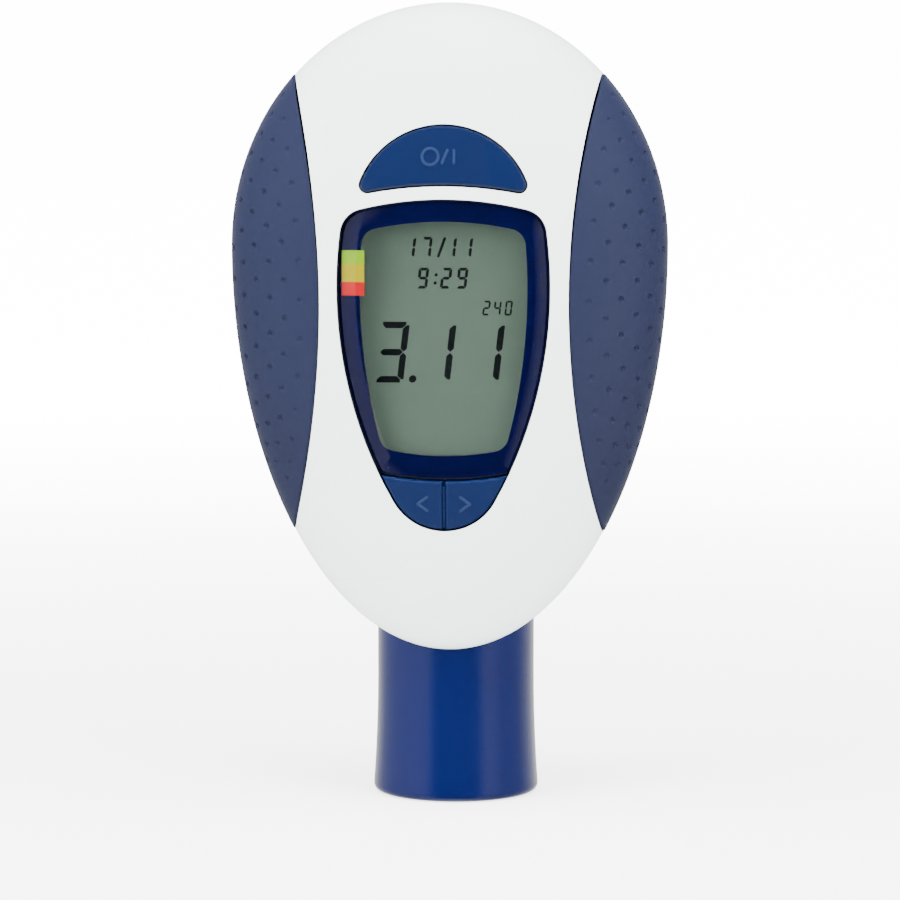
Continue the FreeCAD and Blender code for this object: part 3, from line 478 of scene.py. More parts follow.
class GripForm:
    """Lens-shaped soft grip on the egg's side, with its dimples."""

    # Radius that turns an angle round the egg into a width in the plane of the triangles
    FLAT = 30 * MM
    # The groove at the front edge widens upwards, and closes again by this share of the dimples' reach
    GAP_END = 1.06
    GAP_FALL = 10
    # How far from the grip's middle its tips are looked for, as a share of the dimples' reach
    TIP_SEARCH = 1.25
    # Steps along each edge, and the least distance between two points of the outline
    EDGE_STEPS = 160
    LEAST_STEP = 0.02 * MM
    # Columns of dimples, and half rows of them above and below the middle
    COLUMNS = 14
    HALF_ROWS = 13
    # How much the rows draw together from one column to the next, and how many columns are fainter
    ROW_SQUEEZE = 0.045
    FAINT_COLUMNS = 4
    # Bare strip round the field of dimples, and spacing of the coarse grid of points
    BARE_EDGE = 2.2 * MM
    GRID = 1.6 * MM
    # Lines of points along the rounded edge, as shares of its radius
    SHOULDER_LINES = (0.12, 0.35, 0.65, 1.0, 1.8)
    # Rings of points in a dimple: share of its radius, number of points and turn in steps
    RINGS = ((0.3, 6, 0.5), (0.55, 12, 0), (0.78, 12, 0), (0.92, 12, 0), (1.0, 12, 0), (1.25, 12, 0))

    def __init__(self, sizes, egg):
        self.sizes = sizes
        self.egg = egg
        self.ends = self.tips()
        self.back_radii = [self.back_radius(z) for z in self.ends]
        self.outline = self.make_outline()
        self.tree = search_tree(self.outline)
        self.dimple_depths = []
        self.dimples = self.make_dimples()
        self.dimple_tree = search_tree(self.dimples)

    def edge_x(self, z, side):
        """Distance of an edge of the grip from the middle plane."""
        s = self.sizes
        drop = z - s.grip_level
        if side == "front":
            share = max(0.0, drop / s.dimple_reach)
            widening = s.grip_gap * max(0.0, min(share, self.GAP_FALL * (self.GAP_END - share)))
            return (s.grip_front_edge + s.grip_front_radius + widening
                    - math.sqrt(s.grip_front_radius ** 2 - drop ** 2))
        radius = self.back_radii[1 if drop > 0 else 0]
        return s.grip_back_edge - radius + math.sqrt(radius ** 2 - drop ** 2)

    def edge_angle(self, z, side):
        """Angle of an edge of the grip round the egg's section."""
        ratio = self.edge_x(z, side) / (self.egg.half_width * self.egg.share(z))
        angle = math.acos(max(-1.0, min(1.0, ratio)))
        return -angle if side == "front" else angle

    def tips(self):
        """Heights at which the front edge of the grip reaches the parting plane."""
        def room(z):
            return self.egg.half_width * self.egg.share(z) - self.edge_x(z, "front")
        level = self.sizes.grip_level
        reach = self.sizes.dimple_reach * self.TIP_SEARCH
        return root_between(room, level - reach, level), root_between(room, level, level + reach)

    def back_radius(self, z):
        """Radius of the rear edge that takes it to the front edge's tip at a height."""
        rise = abs(z - self.sizes.grip_level)
        inward = self.sizes.grip_back_edge - self.edge_x(z, "front")
        return (rise ** 2 + inward ** 2) / (2 * inward)

    def make_outline(self):
        """Points along the edge, front side up and rear side down."""
        low, high = self.ends
        levels = [low + (high - low) * (0.5 - 0.5 * math.cos(math.pi * number / self.EDGE_STEPS))
                  for number in range(self.EDGE_STEPS + 1)]
        points = [self.egg.point(self.edge_angle(z, "front"), z) for z in levels]
        points += [self.egg.point(self.edge_angle(z, "rear"), z) for z in reversed(levels)]
        return [point for number, point in enumerate(points)
                if (point - points[number - 1]).length > self.LEAST_STEP]

    def edge_distance(self, point):
        """Distance of a point from the grip's edge."""
        return loop_distance(point, self.outline, self.tree)

    def make_dimples(self):
        """Centres of the dimples: columns beside the front edge, with staggered rows."""
        s = self.sizes
        centres = []
        for column in range(self.COLUMNS):
            squeeze = 1 - self.ROW_SQUEEZE * min(column, self.COLUMNS - 1 - column)
            depth = s.dimple_depth * (1 - s.dimple_fade * max(0.0, 1 - column / self.FAINT_COLUMNS))
            for row in range(-self.HALF_ROWS, self.HALF_ROWS + 1):
                turn = s.dimple_step * (row / 2)
                if (row + column) % 2 == 0 or abs(turn) > math.pi / 2:
                    continue
                z = s.dimple_middle + s.dimple_reach * math.sin(turn) * squeeze
                if not self.ends[0] < z < self.ends[1]:
                    continue
                start = self.edge_angle(z, "front")
                angle = self.egg.walk(start, z, s.dimple_margin + s.dimple_pitch * column)
                point = self.egg.point(angle, z)
                if angle < self.edge_angle(z, "rear") and self.edge_distance(point) > self.BARE_EDGE:
                    centres.append(point)
                    self.dimple_depths.append(depth)
        return centres

    def depth(self, point):
        """How far the finished surface lies below the egg."""
        s = self.sizes
        depth = -s.grip_proud
        gap = self.edge_distance(point)
        if gap < s.grip_shoulder:
            rounded = s.grip_shoulder ** 2 - (s.grip_shoulder - gap) ** 2
            depth += s.grip_shoulder - math.sqrt(max(0.0, rounded))
        _, number, away = self.dimple_tree.find(point)
        away /= s.dimple_radius
        if away < 1:
            depth += self.dimple_depths[number] * (1 - away ** 2) ** 1.5
        return depth

    def surface(self, angle, z):
        """Point of the finished surface."""
        point = self.egg.point(angle, z)
        return point - self.egg.normal(point) * self.depth(point)

    def flat(self, point):
        """A point's place in the plane in which the surface is divided into triangles."""
        angle, z = self.egg.place_of(point)
        return Vector((angle * self.FLAT, z))

    def grid(self, dimpled):
        """A coarse grid inside the edge, clear of the shoulder and the dimples."""
        clear_edge = 2.2 * self.sizes.grip_shoulder
        clear_dimple = 1.35 * self.sizes.dimple_radius
        low, high = self.ends
        places = []
        for row in range(1, round((high - low) / self.GRID)):
            z = low + row * self.GRID
            left, right = (self.edge_angle(z, side) for side in ("front", "rear"))
            count = max(1, round((right - left) * self.FLAT / self.GRID))
            for number in range(1, count):
                point = self.egg.point(left + (right - left) * (number + 0.5 * (row % 2)) / count, z)
                clear = not dimpled or self.dimple_tree.find(point)[2] > clear_dimple
                if clear and self.edge_distance(point) > clear_edge:
                    places.append(point)
        return places

    def shoulder(self):
        """Lines of points along the rounded edge."""
        count = len(self.outline)
        radius = self.sizes.grip_shoulder
        places = []
        for number, point in enumerate(self.outline):
            along = (self.outline[(number + 1) % count] - self.outline[number - 1]).normalized()
            inward = along.cross(self.egg.normal(point))
            for share in self.SHOULDER_LINES:
                seed = point + inward * share * radius
                if self.edge_distance(seed) > 0.9 * share * radius:
                    places.append(seed)
        return places

    def rings(self):
        """The dimples' middles and rings of points round them."""
        places = []
        for centre in self.dimples:
            normal = self.egg.normal(centre)
            across = normal.cross(Vector((0, 0, 1))).normalized()
            up = across.cross(normal)
            places.append(centre)
            for share, count, shift in self.RINGS:
                for number in range(count):
                    turn = 2 * math.pi * (number + shift) / count
                    offset = across * math.cos(turn) + up * math.sin(turn)
                    places.append(centre + offset * share * self.sizes.dimple_radius)
        return places

    def skin(self, dimpled):
        """Triangles of the lens: places in the plane, and faces."""
        seeds = self.grid(dimpled)
        if dimpled:
            seeds += self.shoulder() + self.rings()
        edge = [self.flat(point) for point in self.outline]
        inside = [self.flat(point) for point in seeds]
        loop = [(number, (number + 1) % len(edge)) for number in range(len(edge))]
        places, _, faces, *_ = delaunay_2d_cdt(edge + inside, loop, [], 1, 1e-7)
        return [(place.x / self.FLAT, place.y) for place in places], [tuple(face) for face in faces]

    def normal(self, angle, z):
        """Normal of the finished surface."""
        step = 0.02 * MM
        here = self.surface(angle, z)
        turned = self.surface(angle + step / self.FLAT, z)
        raised = self.surface(angle, z + step)
        return (turned - here).cross(raised - here).normalized()

    def build(self, name, sign):
        """The grip's mesh, for the right (1) or the left (-1) side."""
        top, top_faces = self.skin(True)
        base, base_faces = self.skin(False)
        points = [self.surface(*place) for place in top]
        normals = [self.normal(*place) for place in top]
        count = len(self.outline)
        for angle, z in base:
            point = self.egg.point(angle, z)
            points.append(point - self.egg.normal(point) * self.sizes.grip_depth)
            normals.append(Vector())
        first = len(top)
        faces = list(top_faces)
        faces += [tuple(first + corner for corner in reversed(face)) for face in base_faces]
        for number in range(count):
            following = (number + 1) % count
            normals[number] = Vector()
            faces.append((number, first + number, first + following, following))
        sample = top_faces[:50]
        if sum(self.faces_out(points, face) for face in sample) < len(sample) / 2:
            faces = [tuple(reversed(face)) for face in faces]
            normals = [-normal for normal in normals]
        if sign < 0:
            points = [Vector((-point.x, point.y, point.z)) for point in points]
            normals = [Vector((-normal.x, normal.y, normal.z)) for normal in normals]
            faces = [tuple(reversed(face)) for face in faces]
        mesh = bpy.data.meshes.new(name)
        mesh.from_pydata(points, [], faces)
        mesh.shade_smooth()
        mesh.normals_split_custom_set_from_vertices(normals)
        return mesh

    def faces_out(self, points, face):
        """Whether a triangle's normal points away from the egg."""
        one, two, three = (points[corner] for corner in face[:3])
        return (two - one).cross(three - one).dot(self.egg.normal(one)) > 0


def circles_meet(first, first_radius, second, second_radius):
    """The two points where two circles cross."""
    between = second - first
    distance = between.length
    along = (distance ** 2 + first_radius ** 2 - second_radius ** 2) / (2 * distance)
    side = Vector((-between.y, between.x)) / distance * math.sqrt(first_radius ** 2 - along ** 2)
    foot = first + between * along / distance
    return foot + side, foot - side


def arc_run(centre, start, end, step):
    """Even points on an arc about a centre, from one point to another, without the last."""
    first = start - centre
    last = end - centre
    turn = math.atan2(first.x * last.y - first.y * last.x, first.dot(last))
    count = max(2, round(abs(turn) * first.length / step))
    points = []
    for number in range(count):
        angle = turn * number / count
        cosine, sine = math.cos(angle), math.sin(angle)
        points.append(centre + Vector((first.x * cosine - first.y * sine, first.x * sine + first.y * cosine)))
    return points


class LensForm:
    """Clear window with a rolled edge, as a height field over its outline in the front view."""

    # Shape of the roll: its drop grows with this power of the way to the edge
    ROLL_CURVE = 1.35
    # Lines of points along the roll, as shares of its width
    ROLL_LINES = (0.03, 0.1, 0.2, 0.34, 0.5, 0.7, 0.9, 1.1)
    # Spacing of the points round the outline, and of the coarse grid inside it
    EDGE_STEP = 0.6 * MM
    GRID = 1.6 * MM

    def __init__(self, sizes, egg):
        self.sizes = sizes
        self.egg = egg
        self.side = Vector((sizes.side_radius - sizes.half, sizes.level))
        self.top = Vector((0, sizes.top - sizes.top_radius))
        self.bottom = Vector((0, sizes.bottom + sizes.bottom_radius))
        self.outline = self.make_outline()
        self.tree = search_tree(self.outline)

    def make_outline(self):
        """Points round the window, from the middle of its bottom and up its left side first."""
        s = self.sizes
        side, top, bottom, step = self.side, self.top, self.bottom, self.EDGE_STEP
        corner = min(circles_meet(side, s.side_radius - s.corner, top, s.top_radius - s.corner),
                     key=lambda point: point.x)
        low_end = min(circles_meet(side, s.side_radius, bottom, s.bottom_radius),
                      key=lambda point: point.x + point.y)
        side_end = side + (corner - side).normalized() * s.side_radius
        top_end = top + (corner - top).normalized() * s.top_radius
        half = arc_run(bottom, Vector((0, s.bottom)), low_end, step)
        half += arc_run(side, low_end, side_end, step)
        half += arc_run(corner, side_end, top_end, step / 3)
        half += arc_run(top, top_end, Vector((0, s.top)), step)
        crown = [Vector((0, s.top))]
        return half + crown + [Vector((-point.x, point.y)) for point in reversed(half[1:])]

    def gap(self, point):
        """Distance of a place in the front view from the window's edge."""
        return loop_distance(point, self.outline, self.tree)

    def surface(self, point):
        """Front of the window at a place in the front view."""
        s = self.sizes
        near = max(0.0, 1 - self.gap(point) / s.roll_width)
        place = self.egg.front_point(point.x, point.y)
        place.y += s.roll_depth * near ** self.ROLL_CURVE
        return place

    def back(self, point):
        """Back of the window at a place in the front view."""
        return self.egg.front_point(point.x, point.y, self.sizes.thickness)

    def slope(self, function, point):
        """Normal of a height field, towards the front."""
        step = 0.02 * MM
        across = function(point + Vector((step, 0))) - function(point - Vector((step, 0)))
        up = function(point + Vector((0, step))) - function(point - Vector((0, step)))
        return across.cross(up).normalized()

    def seeds(self):
        """Places inside the outline: rows along the rolled edge and a coarse grid."""
        s = self.sizes
        places = []
        count = len(self.outline)
        for number, point in enumerate(self.outline):
            along = (self.outline[(number + 1) % count] - self.outline[number - 1]).normalized()
            inward = Vector((along.y, -along.x))
            if self.gap(point + inward * s.roll_width) < 0.5 * s.roll_width:
                inward = -inward
            for share in self.ROLL_LINES:
                seed = point + inward * share * s.roll_width
                if self.gap(seed) > 0.93 * share * s.roll_width:
                    places.append(seed)
        step = self.GRID
        columns = round(s.half / step)
        for row in range(round((s.top - s.bottom) / step)):
            for column in range(-columns, columns + 1):
                seed = Vector((column * step, s.bottom + row * step))
                if self.inside(seed) and self.gap(seed) > 1.5 * s.roll_width:
                    places.append(seed)
        return places

    def inside(self, point):
        """Whether a place lies within the outline."""
        s = self.sizes
        mirror = Vector((-self.side.x, self.side.y))
        circles = ((self.side, s.side_radius), (mirror, s.side_radius), (self.top, s.top_radius),
                   (self.bottom, s.bottom_radius))
        return all((point - centre).length < radius for centre, radius in circles)

    def build(self, name):
        """The window's mesh."""
        count = len(self.outline)
        loop = [(number, (number + 1) % count) for number in range(count)]
        places, _, faces, *_ = delaunay_2d_cdt(self.outline + self.seeds(), loop, [], 1, 1e-7)
        total = len(places)
        points = [self.surface(place) for place in places] + [self.back(place) for place in places]
        fronts = [self.slope(self.surface, place) for place in places]
        backs = [-self.slope(self.back, place) for place in places]
        rims = []
        for number in range(count):
            along = (places[(number + 1) % count] - places[number - 1]).normalized()
            outward = Vector((along.y, 0, -along.x))
            away = Vector((places[number].x, 0, places[number].y - self.sizes.level))
            rims.append(outward if outward.dot(away) > 0 else -outward)
        fronts[:count] = rims
        mesh_faces = []
        normals = []
        for face in faces:
            one, two, three = (points[corner] for corner in face[:3])
            corners = list(face)
            if (two - one).cross(three - one).y > 0:
                corners.reverse()
            mesh_faces.append(corners)
            normals += [fronts[corner] for corner in corners]
            corners = corners[::-1]
            mesh_faces.append([corner + total for corner in corners])
            normals += [backs[corner] for corner in corners]
        for number in range(count):
            following = (number + 1) % count
            corners = [number, following, following + total, number + total]
            one, two, three = (points[corner] for corner in corners[:3])
            if (two - one).cross(three - one).dot(rims[number]) < 0:
                corners.reverse()
            mesh_faces.append(corners)
            normals += [rims[corner % total] for corner in corners]
        mesh = bpy.data.meshes.new(name)
        mesh.from_pydata(points, [], mesh_faces)
        mesh.shade_smooth()
        mesh.normals_split_custom_set(normals)
        return mesh


def finder(name):
    """A function that gives the frontmost point of a CAD node at (x, z), and its normal."""
    mesh = bmesh.new()
    mesh.from_mesh(NODES[name].data)
    tree = BVHTree.FromBMesh(mesh)
    mesh.free()
    start = CAD_BOX[0].y - 10 * MM

    def find(x, z):
        place, normal, *_ = tree.ray_cast(Vector((x, start, z)), Vector((0, 1, 0)))
        if place is None:
            raise RuntimeError(f"{name} has no surface at {x:.4f}, {z:.4f}")
        return place, normal

    return find


def arc_points(centre, radius, start, end, count):
    """Points on a circle in the front view, between two angles in degrees."""
    turns = [math.radians(start + (end - start) * number / count) for number in range(count + 1)]
    return [(centre[0] + radius * math.cos(turn), centre[1] + radius * math.sin(turn)) for turn in turns]


def even_steps(points, step):
    """A path through the points with about even steps."""
    path = []
    for start, end in zip(points, points[1:]):
        length = math.dist(start, end)
        count = max(1, round(length / step))
        for number in range(count):
            share = number / count
            path.append((start[0] + (end[0] - start[0]) * share, start[1] + (end[1] - start[1]) * share))
    return path + [points[-1]]


def raised_line(build, find, points, width, height, closed=False):
    """Add a rounded ridge that follows a path on a surface."""
    path = [Vector(point) for point in even_steps(points, width / 3)]
    across = 8
    sink = 0.02 * MM
    rows = []
    count = len(path)
    lengths = [0.0]
    for start, end in zip(path, path[1:]):
        lengths.append(lengths[-1] + (end - start).length)
    for number, point in enumerate(path):
        before = path[number - 1] if number or closed else point
        after = path[(number + 1) % count] if number < count - 1 or closed else point
        along = (after - before).normalized()
        side = Vector((-along.y, along.x))
        end_gap = min(lengths[number], lengths[-1] - lengths[number]) / (width / 2)
        taper = 1.0 if closed or end_gap >= 1 else math.sqrt(max(0.0, 1 - (1 - end_gap) ** 2))
        row = []
        for place in range(across + 1):
            share = -1 + 2 * place / across
            spot = point + side * share * taper * width / 2
            surface, normal = find(spot.x, spot.y)
            lift = height * math.sqrt(max(0.0, 1 - share ** 4)) * taper
            row.append(build.verts.new(surface + normal * (lift - sink)))
        rows.append(row)
    if closed:
        rows.append(rows[0])
    for lower, upper in zip(rows, rows[1:]):
        for place in range(across):
            build.faces.new((lower[place], lower[place + 1], upper[place + 1], upper[place]))


def ridges(name, node, lines, width, height, closed=()):
    """A mesh of raised marks on a CAD node."""
    build = bmesh.new()
    find = finder(node)
    for number, line in enumerate(lines):
        raised_line(build, find, line, width, height, number in closed)
    bmesh.ops.remove_doubles(build, verts=build.verts, dist=0.001 * MM)
    bmesh.ops.recalc_face_normals(build, faces=build.faces)
    mesh = made_mesh(name, build)
    if sum(face.normal.y for face in mesh.polygons) > 0:
        mesh.flip_normals()
    mesh.shade_smooth()
    return mesh


# Digits of the display as seven bars: top, upper right, lower right, bottom, lower left, upper left, middle
DIGIT_BARS = {
    "0": (0, 1, 2, 3, 4, 5), "1": (1, 2), "2": (0, 1, 6, 4, 3), "3": (0, 1, 6, 2, 3), "4": (5, 6, 1, 2),
    "7": (0, 1, 2), "9": (0, 1, 2, 3, 5, 6),
}


def bar_outline(start, end, thickness, gap):
    """A bar with pointed ends between two corners of a digit."""
    a, b = Vector(start), Vector(end)
    along = (b - a).normalized()
    side = Vector((-along.y, along.x)) * thickness / 2
    tip = along * thickness / 2
    a = a + along * gap
    b = b - along * gap
    return [a, a + tip + side, b - tip + side, b, b - tip - side, a + tip - side]


def edge_bar(start, end, inward, thickness, gap, pointed=False):
    """A bar along a digit's outer edge: its start is cut slantwise, its end too or pointed."""
    a, b, side = Vector(start), Vector(end), Vector(inward) * thickness
    along = (b - a).normalized() * thickness
    first = a + (b - a).normalized() * gap
    last = b - (b - a).normalized() * gap
    blunt = 0.45
    outline = [first + (along + side) * blunt, first + along * blunt]
    if pointed:
        outline += [last - along / 2, last + side / 2, last - along / 2 + side]
    else:
        outline += [last - along * blunt, last - (along - side) * blunt, last - along + side]
    return outline + [first + along + side]


def digit_outlines(digit, width, height, thickness):
    """Outlines of a digit's bars, with its lower left corner at the origin."""
    gap = 0.09 * thickness
    half = height / 2
    down, up, inward, outward = (0, -1), (0, 1), (-1, 0), (1, 0)
    edges = [((0, height), (width, height), down), ((width, height), (width, half), inward),
             ((width, 0), (width, half), inward), ((0, 0), (width, 0), up), ((0, 0), (0, half), outward),
             ((0, height), (0, half), outward)]
    inset = thickness / 2
    outlines = []
    for bar in DIGIT_BARS[digit]:
        if bar < len(edges):
            outlines.append(edge_bar(*edges[bar], thickness, gap, edges[bar][1][1] == half))
        else:
            outlines.append(bar_outline((inset, half), (width - inset, half), thickness, gap))
    return outlines


class DisplayRow:
    """A line of characters on the display: each with its left end, and their foot, size and bar."""

    def __init__(self, name, marks, foot, width, height, thickness):
        self.name = name
        self.marks = marks
        self.foot = foot * MM
        self.width, self.height = width * MM, height * MM
        self.thickness = thickness * MM


# Name, characters with their left ends, foot, width, height and thickness of the bars, in millimetres
ROWS = (
    DisplayRow("date_digits", (("1", -7.0), ("7", -4.2), ("/", -1.2), ("1", -0.05), ("1", 2.7)),
               96.05, 1.75, 3.55, 0.46),
    DisplayRow("clock_digits", (("9", -4.8), (":", -1.75), ("2", -0.85), ("9", 1.9)), 90.8, 1.75, 3.55, 0.46),
    DisplayRow("record_digits", (("2", 6.38), ("4", 8.25), ("0", 10.15)), 86.25, 1.2, 2.5, 0.3),
    DisplayRow("reading_digits", (("3", -12.3), (".", -6.2), ("1", -4.3), ("1", 4.0)),
               74.7, 5.15, 10.4, 1.08),
)
SLANT = math.tan(math.radians(6.6))


# Pieces


class PEAKFLOW_OT_stage(bpy.types.Operator):
    """Make the camera, the soft boxes and the pale floor"""

    bl_idname = "peakflow.stage"
    bl_label = "Stage"

    # Brightness of the walls in reflections, at angles in degrees round the object from the front
    WALLS = ((-179, 0.65), (-155, 0.5), (-125, 0.3), (-112, 0.26), (-36, 0.25), (-26, 0.01), (36, 0.01),
             (47, 0.22), (64, 0.22), (74, 0.15), (108, 0.15), (125, 0.3), (155, 0.5), (179, 0.65))
    # Soft boxes: name, azimuth in degrees, distance, height, width and length in mm, share of the power
    SOFT_BOXES = (("left_box", -52, 850, 130, 420, 900, 1.0), ("right_box", 48, 850, 130, 420, 900, 0.9),
                  ("top_box", 5, 300, 900, 900, 700, 1.3))
    # The floor's radius, the distances from its middle between which it brightens, and its glow there
    FLOOR_RADIUS = 6.0
    FLOOR_FADE = (0.05, 1.0)
    FLOOR_GLOW = 3.0
    # Steepness of the downward directions in which reflections brighten, and how far
    BELOW = (-0.8, -0.97)
    BELOW_GLOW = 0.5

    def execute(self, context):
        stage = settings("meter_stage")
        forward = Vector((-math.sin(stage.azimuth), math.cos(stage.azimuth), 0))
        right = Vector((forward.y, -forward.x, 0))
        camera = new_object("camera", bpy.data.cameras.new("camera"))
        camera.location = -forward * stage.distance + Vector((0, 0, stage.height))
        aim = Vector((0, 0, stage.aim_level)) - right * stage.aim_side
        camera.rotation_euler = (aim - camera.location).to_track_quat("-Z", "Y").to_euler()
        camera.data.lens = stage.lens
        camera.data.sensor_width = 36
        camera.data.clip_start = 0.01
        context.scene.camera = camera
        self.lamps(stage)
        self.floor(stage)
        self.world(stage)
        return {"FINISHED"}

    def lamps(self, stage):
        """Two tall soft boxes in front and one above."""
        middle = Vector((0, 0, 80 * MM))
        for name, azimuth, away, level, width, length, share in self.SOFT_BOXES:
            lamp = bpy.data.lights.new(name, "AREA")
            lamp.shape = "RECTANGLE"
            lamp.size, lamp.size_y = width * MM, length * MM
            lamp.energy = stage.soft_boxes * share
            item = new_object(name, lamp)
            turn = math.radians(azimuth)
            item.location = Vector((math.sin(turn) * away, -math.cos(turn) * away, level)) * MM
            item.rotation_euler = (middle - item.location).to_track_quat("-Z", "Y").to_euler()
            item.visible_glossy = False

    def floor(self, stage):
        """A wide pale disc under the mouthpiece that turns white towards the backdrop."""
        build = bmesh.new()
        bmesh.ops.create_circle(build, cap_ends=True, segments=96, radius=self.FLOOR_RADIUS)
        mesh = made_mesh("floor", build)
        floor = new_object("floor", mesh)
        floor.location.z = -0.1 * MM
        paper = plastic("studio_floor", (0.9, 0.9, 0.9), (0.6, 0.7), tint=0.99, grain=(900.0, 0.002))
        mesh.materials.append(paper)
        tree = paper.node_tree
        shader = tree.nodes["Principled BSDF"]
        place = tree.nodes.new("ShaderNodeTexCoord")
        reach = tree.nodes.new("ShaderNodeVectorMath")
        reach.operation = "LENGTH"
        wire(tree, place.outputs["Object"], reach.inputs[0])
        fade = smooth_fade(tree, reach.outputs["Value"], *self.FLOOR_FADE, self.FLOOR_GLOW, stage.backdrop)
        path = tree.nodes.new("ShaderNodeLightPath")
        glow = maths(tree, "MULTIPLY", path.outputs["Is Camera Ray"], fade)
        shader.inputs["Emission Color"].default_value = (1, 1, 1, 1)
        wire(tree, glow, shader.inputs["Emission Strength"])
        let_through(tree, "Is Glossy Ray")

    def world(self, stage):
        """Even light from all round: a white backdrop, pale sides and a dim front in reflections."""
        world = bpy.data.worlds.new("studio")
        bpy.context.scene.world = world
        world.use_nodes = True
        tree = world.node_tree
        background = tree.nodes["Background"]
        background.inputs["Color"].default_value = (1, 1, 1, 1)
        path = tree.nodes.new("ShaderNodeLightPath")
        place = tree.nodes.new("ShaderNodeTexCoord")
        split = tree.nodes.new("ShaderNodeSeparateXYZ")
        wire(tree, place.outputs["Generated"], split.inputs[0])
        ahead = maths(tree, "MULTIPLY", split.outputs["Y"], -1.0)
        azimuth = maths(tree, "ARCTAN2", split.outputs["X"], ahead)
        turn = maths(tree, "MULTIPLY_ADD", azimuth, 0.5 / math.pi, 0.5)
        walls = tree.nodes.new("ShaderNodeValToRGB")
        wire(tree, turn, walls.inputs["Fac"])
        stops = walls.color_ramp.elements
        for degrees, value in self.WALLS:
            stop = stops.new(degrees / 360 + 0.5)
            stop.color = (value, value, value, 1.0)
        stops.remove(stops[0])
        stops.remove(stops[-1])
        below = smooth_fade(tree, split.outputs["Z"], *self.BELOW, 0.0, self.BELOW_GLOW)
        brighter = maths(tree, "MAXIMUM", walls.outputs["Color"], below)
        soft = maths(tree, "MULTIPLY", brighter, stage.sheen)
        seen = maths(tree, "SUBTRACT", stage.backdrop, soft)
        strength = maths(tree, "MULTIPLY_ADD", path.outputs["Is Camera Ray"], seen, soft)
        wire(tree, strength, background.inputs["Strength"])


class PEAKFLOW_OT_housing(bpy.types.Operator):
    """Finish the white covers, the battery door and the frame inside them"""

    bl_idname = "peakflow.housing"
    bl_label = "Housing"

    # Greatest depth of the painted shade in the seat under the window and in the grips' seats, and the least
    # of either
    WINDOW_SEAT = 3.6 * MM
    GRIP_SEAT = 2.3 * MM
    LEAST_SEAT = 0.25 * MM
    # How far the painted shade reaches past the window, below it to the keys' end, and past the grips' edge
    WINDOW_MARGIN = 1 * MM
    KEYS_REACH = 10 * MM
    GRIP_MARGIN = 0.8 * MM

    def execute(self, context):
        shell = plastic("white_shell", settings("meter_colours").shell, (0.24, 0.32), tint=0.985,
                        grain=(1400.0, 0.004), cloud=25.0, Coat_Weight=0.15)
        dress(shell, "front_cover", "rear_cover", "battery_door")
        self.shade_the_seats()
        dress(plastic("chassis_plastic", (0.30, 0.31, 0.32), (0.45, 0.6)), "chassis")
        dress(metal("screw_steel", (0.55, 0.55, 0.56)), "board_screws", "housing_screws")
        return {"FINISHED"}

    def shade_the_seats(self):
        """Painted shade: near-black paint on the recess floors and walls under the window and the grips,
        where shade falls.
        """
        egg = housing_egg()
        form = GripForm(settings("meter_sizes"), egg)
        # Painted shade: a near-black colour that darkens the window's and the grips' recesses
        seat_shade = plastic("seat_painted_shade", (0.004, 0.004, 0.006), (0.6, 0.7), tint=0.9, grain=(1500.0, 0.002))
        low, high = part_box("display_window")
        bottom = low.z - self.KEYS_REACH
        top = high.z + self.WINDOW_MARGIN
        half = high.x + self.WINDOW_MARGIN

        def sunk(point, limit):
            return self.LEAST_SEAT < egg.depth(point) < limit

        def under_window(point):
            return abs(point.x) < half and bottom < point.z < top and sunk(point, self.WINDOW_SEAT)

        def under_grip(point, side):
            edge = form.edge_x(point.z, side) - self.GRIP_MARGIN
            return abs(point.x) > edge and sunk(point, self.GRIP_SEAT)

        paint(seat_shade, "front_cover", lambda point: under_window(point) or under_grip(point, "front"))
        paint(seat_shade, "rear_cover", lambda point: under_grip(point, "rear"))


class PEAKFLOW_OT_grips(bpy.types.Operator):
    """Build the soft side grips with their rows of dimples"""

    bl_idname = "peakflow.grips"
    bl_label = "Side grips"

    def execute(self, context):
        form = GripForm(settings("meter_sizes"), housing_egg())
        rubber = plastic("grip_rubber", settings("meter_colours").grip, (0.45, 0.55), tint=0.92,
                         grain=(3200.0, 0.012), cloud=60.0, Specular_IOR_Level=0.3)
        for node, sign in (("left_grip", -1), ("right_grip", 1)):
            name = f"{node}_dimpled"
            piece = add_piece(name, form.build(name, sign), rubber, "housing")
            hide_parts(node)
        return {"FINISHED"}


class PEAKFLOW_OT_window(bpy.types.Operator):
    """Finish the clear window, its printed border and the zone marks"""

    bl_idname = "peakflow.window"
    bl_label = "Display window"

    # Colours of the zone marks' prints
    ZONES = (("green", (0.135, 0.26, 0.001)), ("yellow", (0.24, 0.20, 0.0)), ("red", (0.31, 0.007, 0.009)))

    def execute(self, context):
        lens = LensForm(settings("lens_sizes"), housing_egg())
        window = lens.build("rolled_window")
        piece = add_piece("rolled_window", window, clear_plastic("window_clear"), "housing")
        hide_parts("display_window")
        self.prints("border_print", settings("meter_colours").border, 0.9, "window_border")
        for zone, colour in self.ZONES:
            self.prints(f"print_{zone}", colour, 0.94, f"zone_mark_{zone}")
        return {"FINISHED"}

    def prints(self, name, colour, tint, node):
        """Finish a print behind the window."""
        ink = plastic(name, colour, (0.35, 0.4), tint, grain=(800.0, 0.001), Specular_IOR_Level=0.0)
        dress(ink, node)


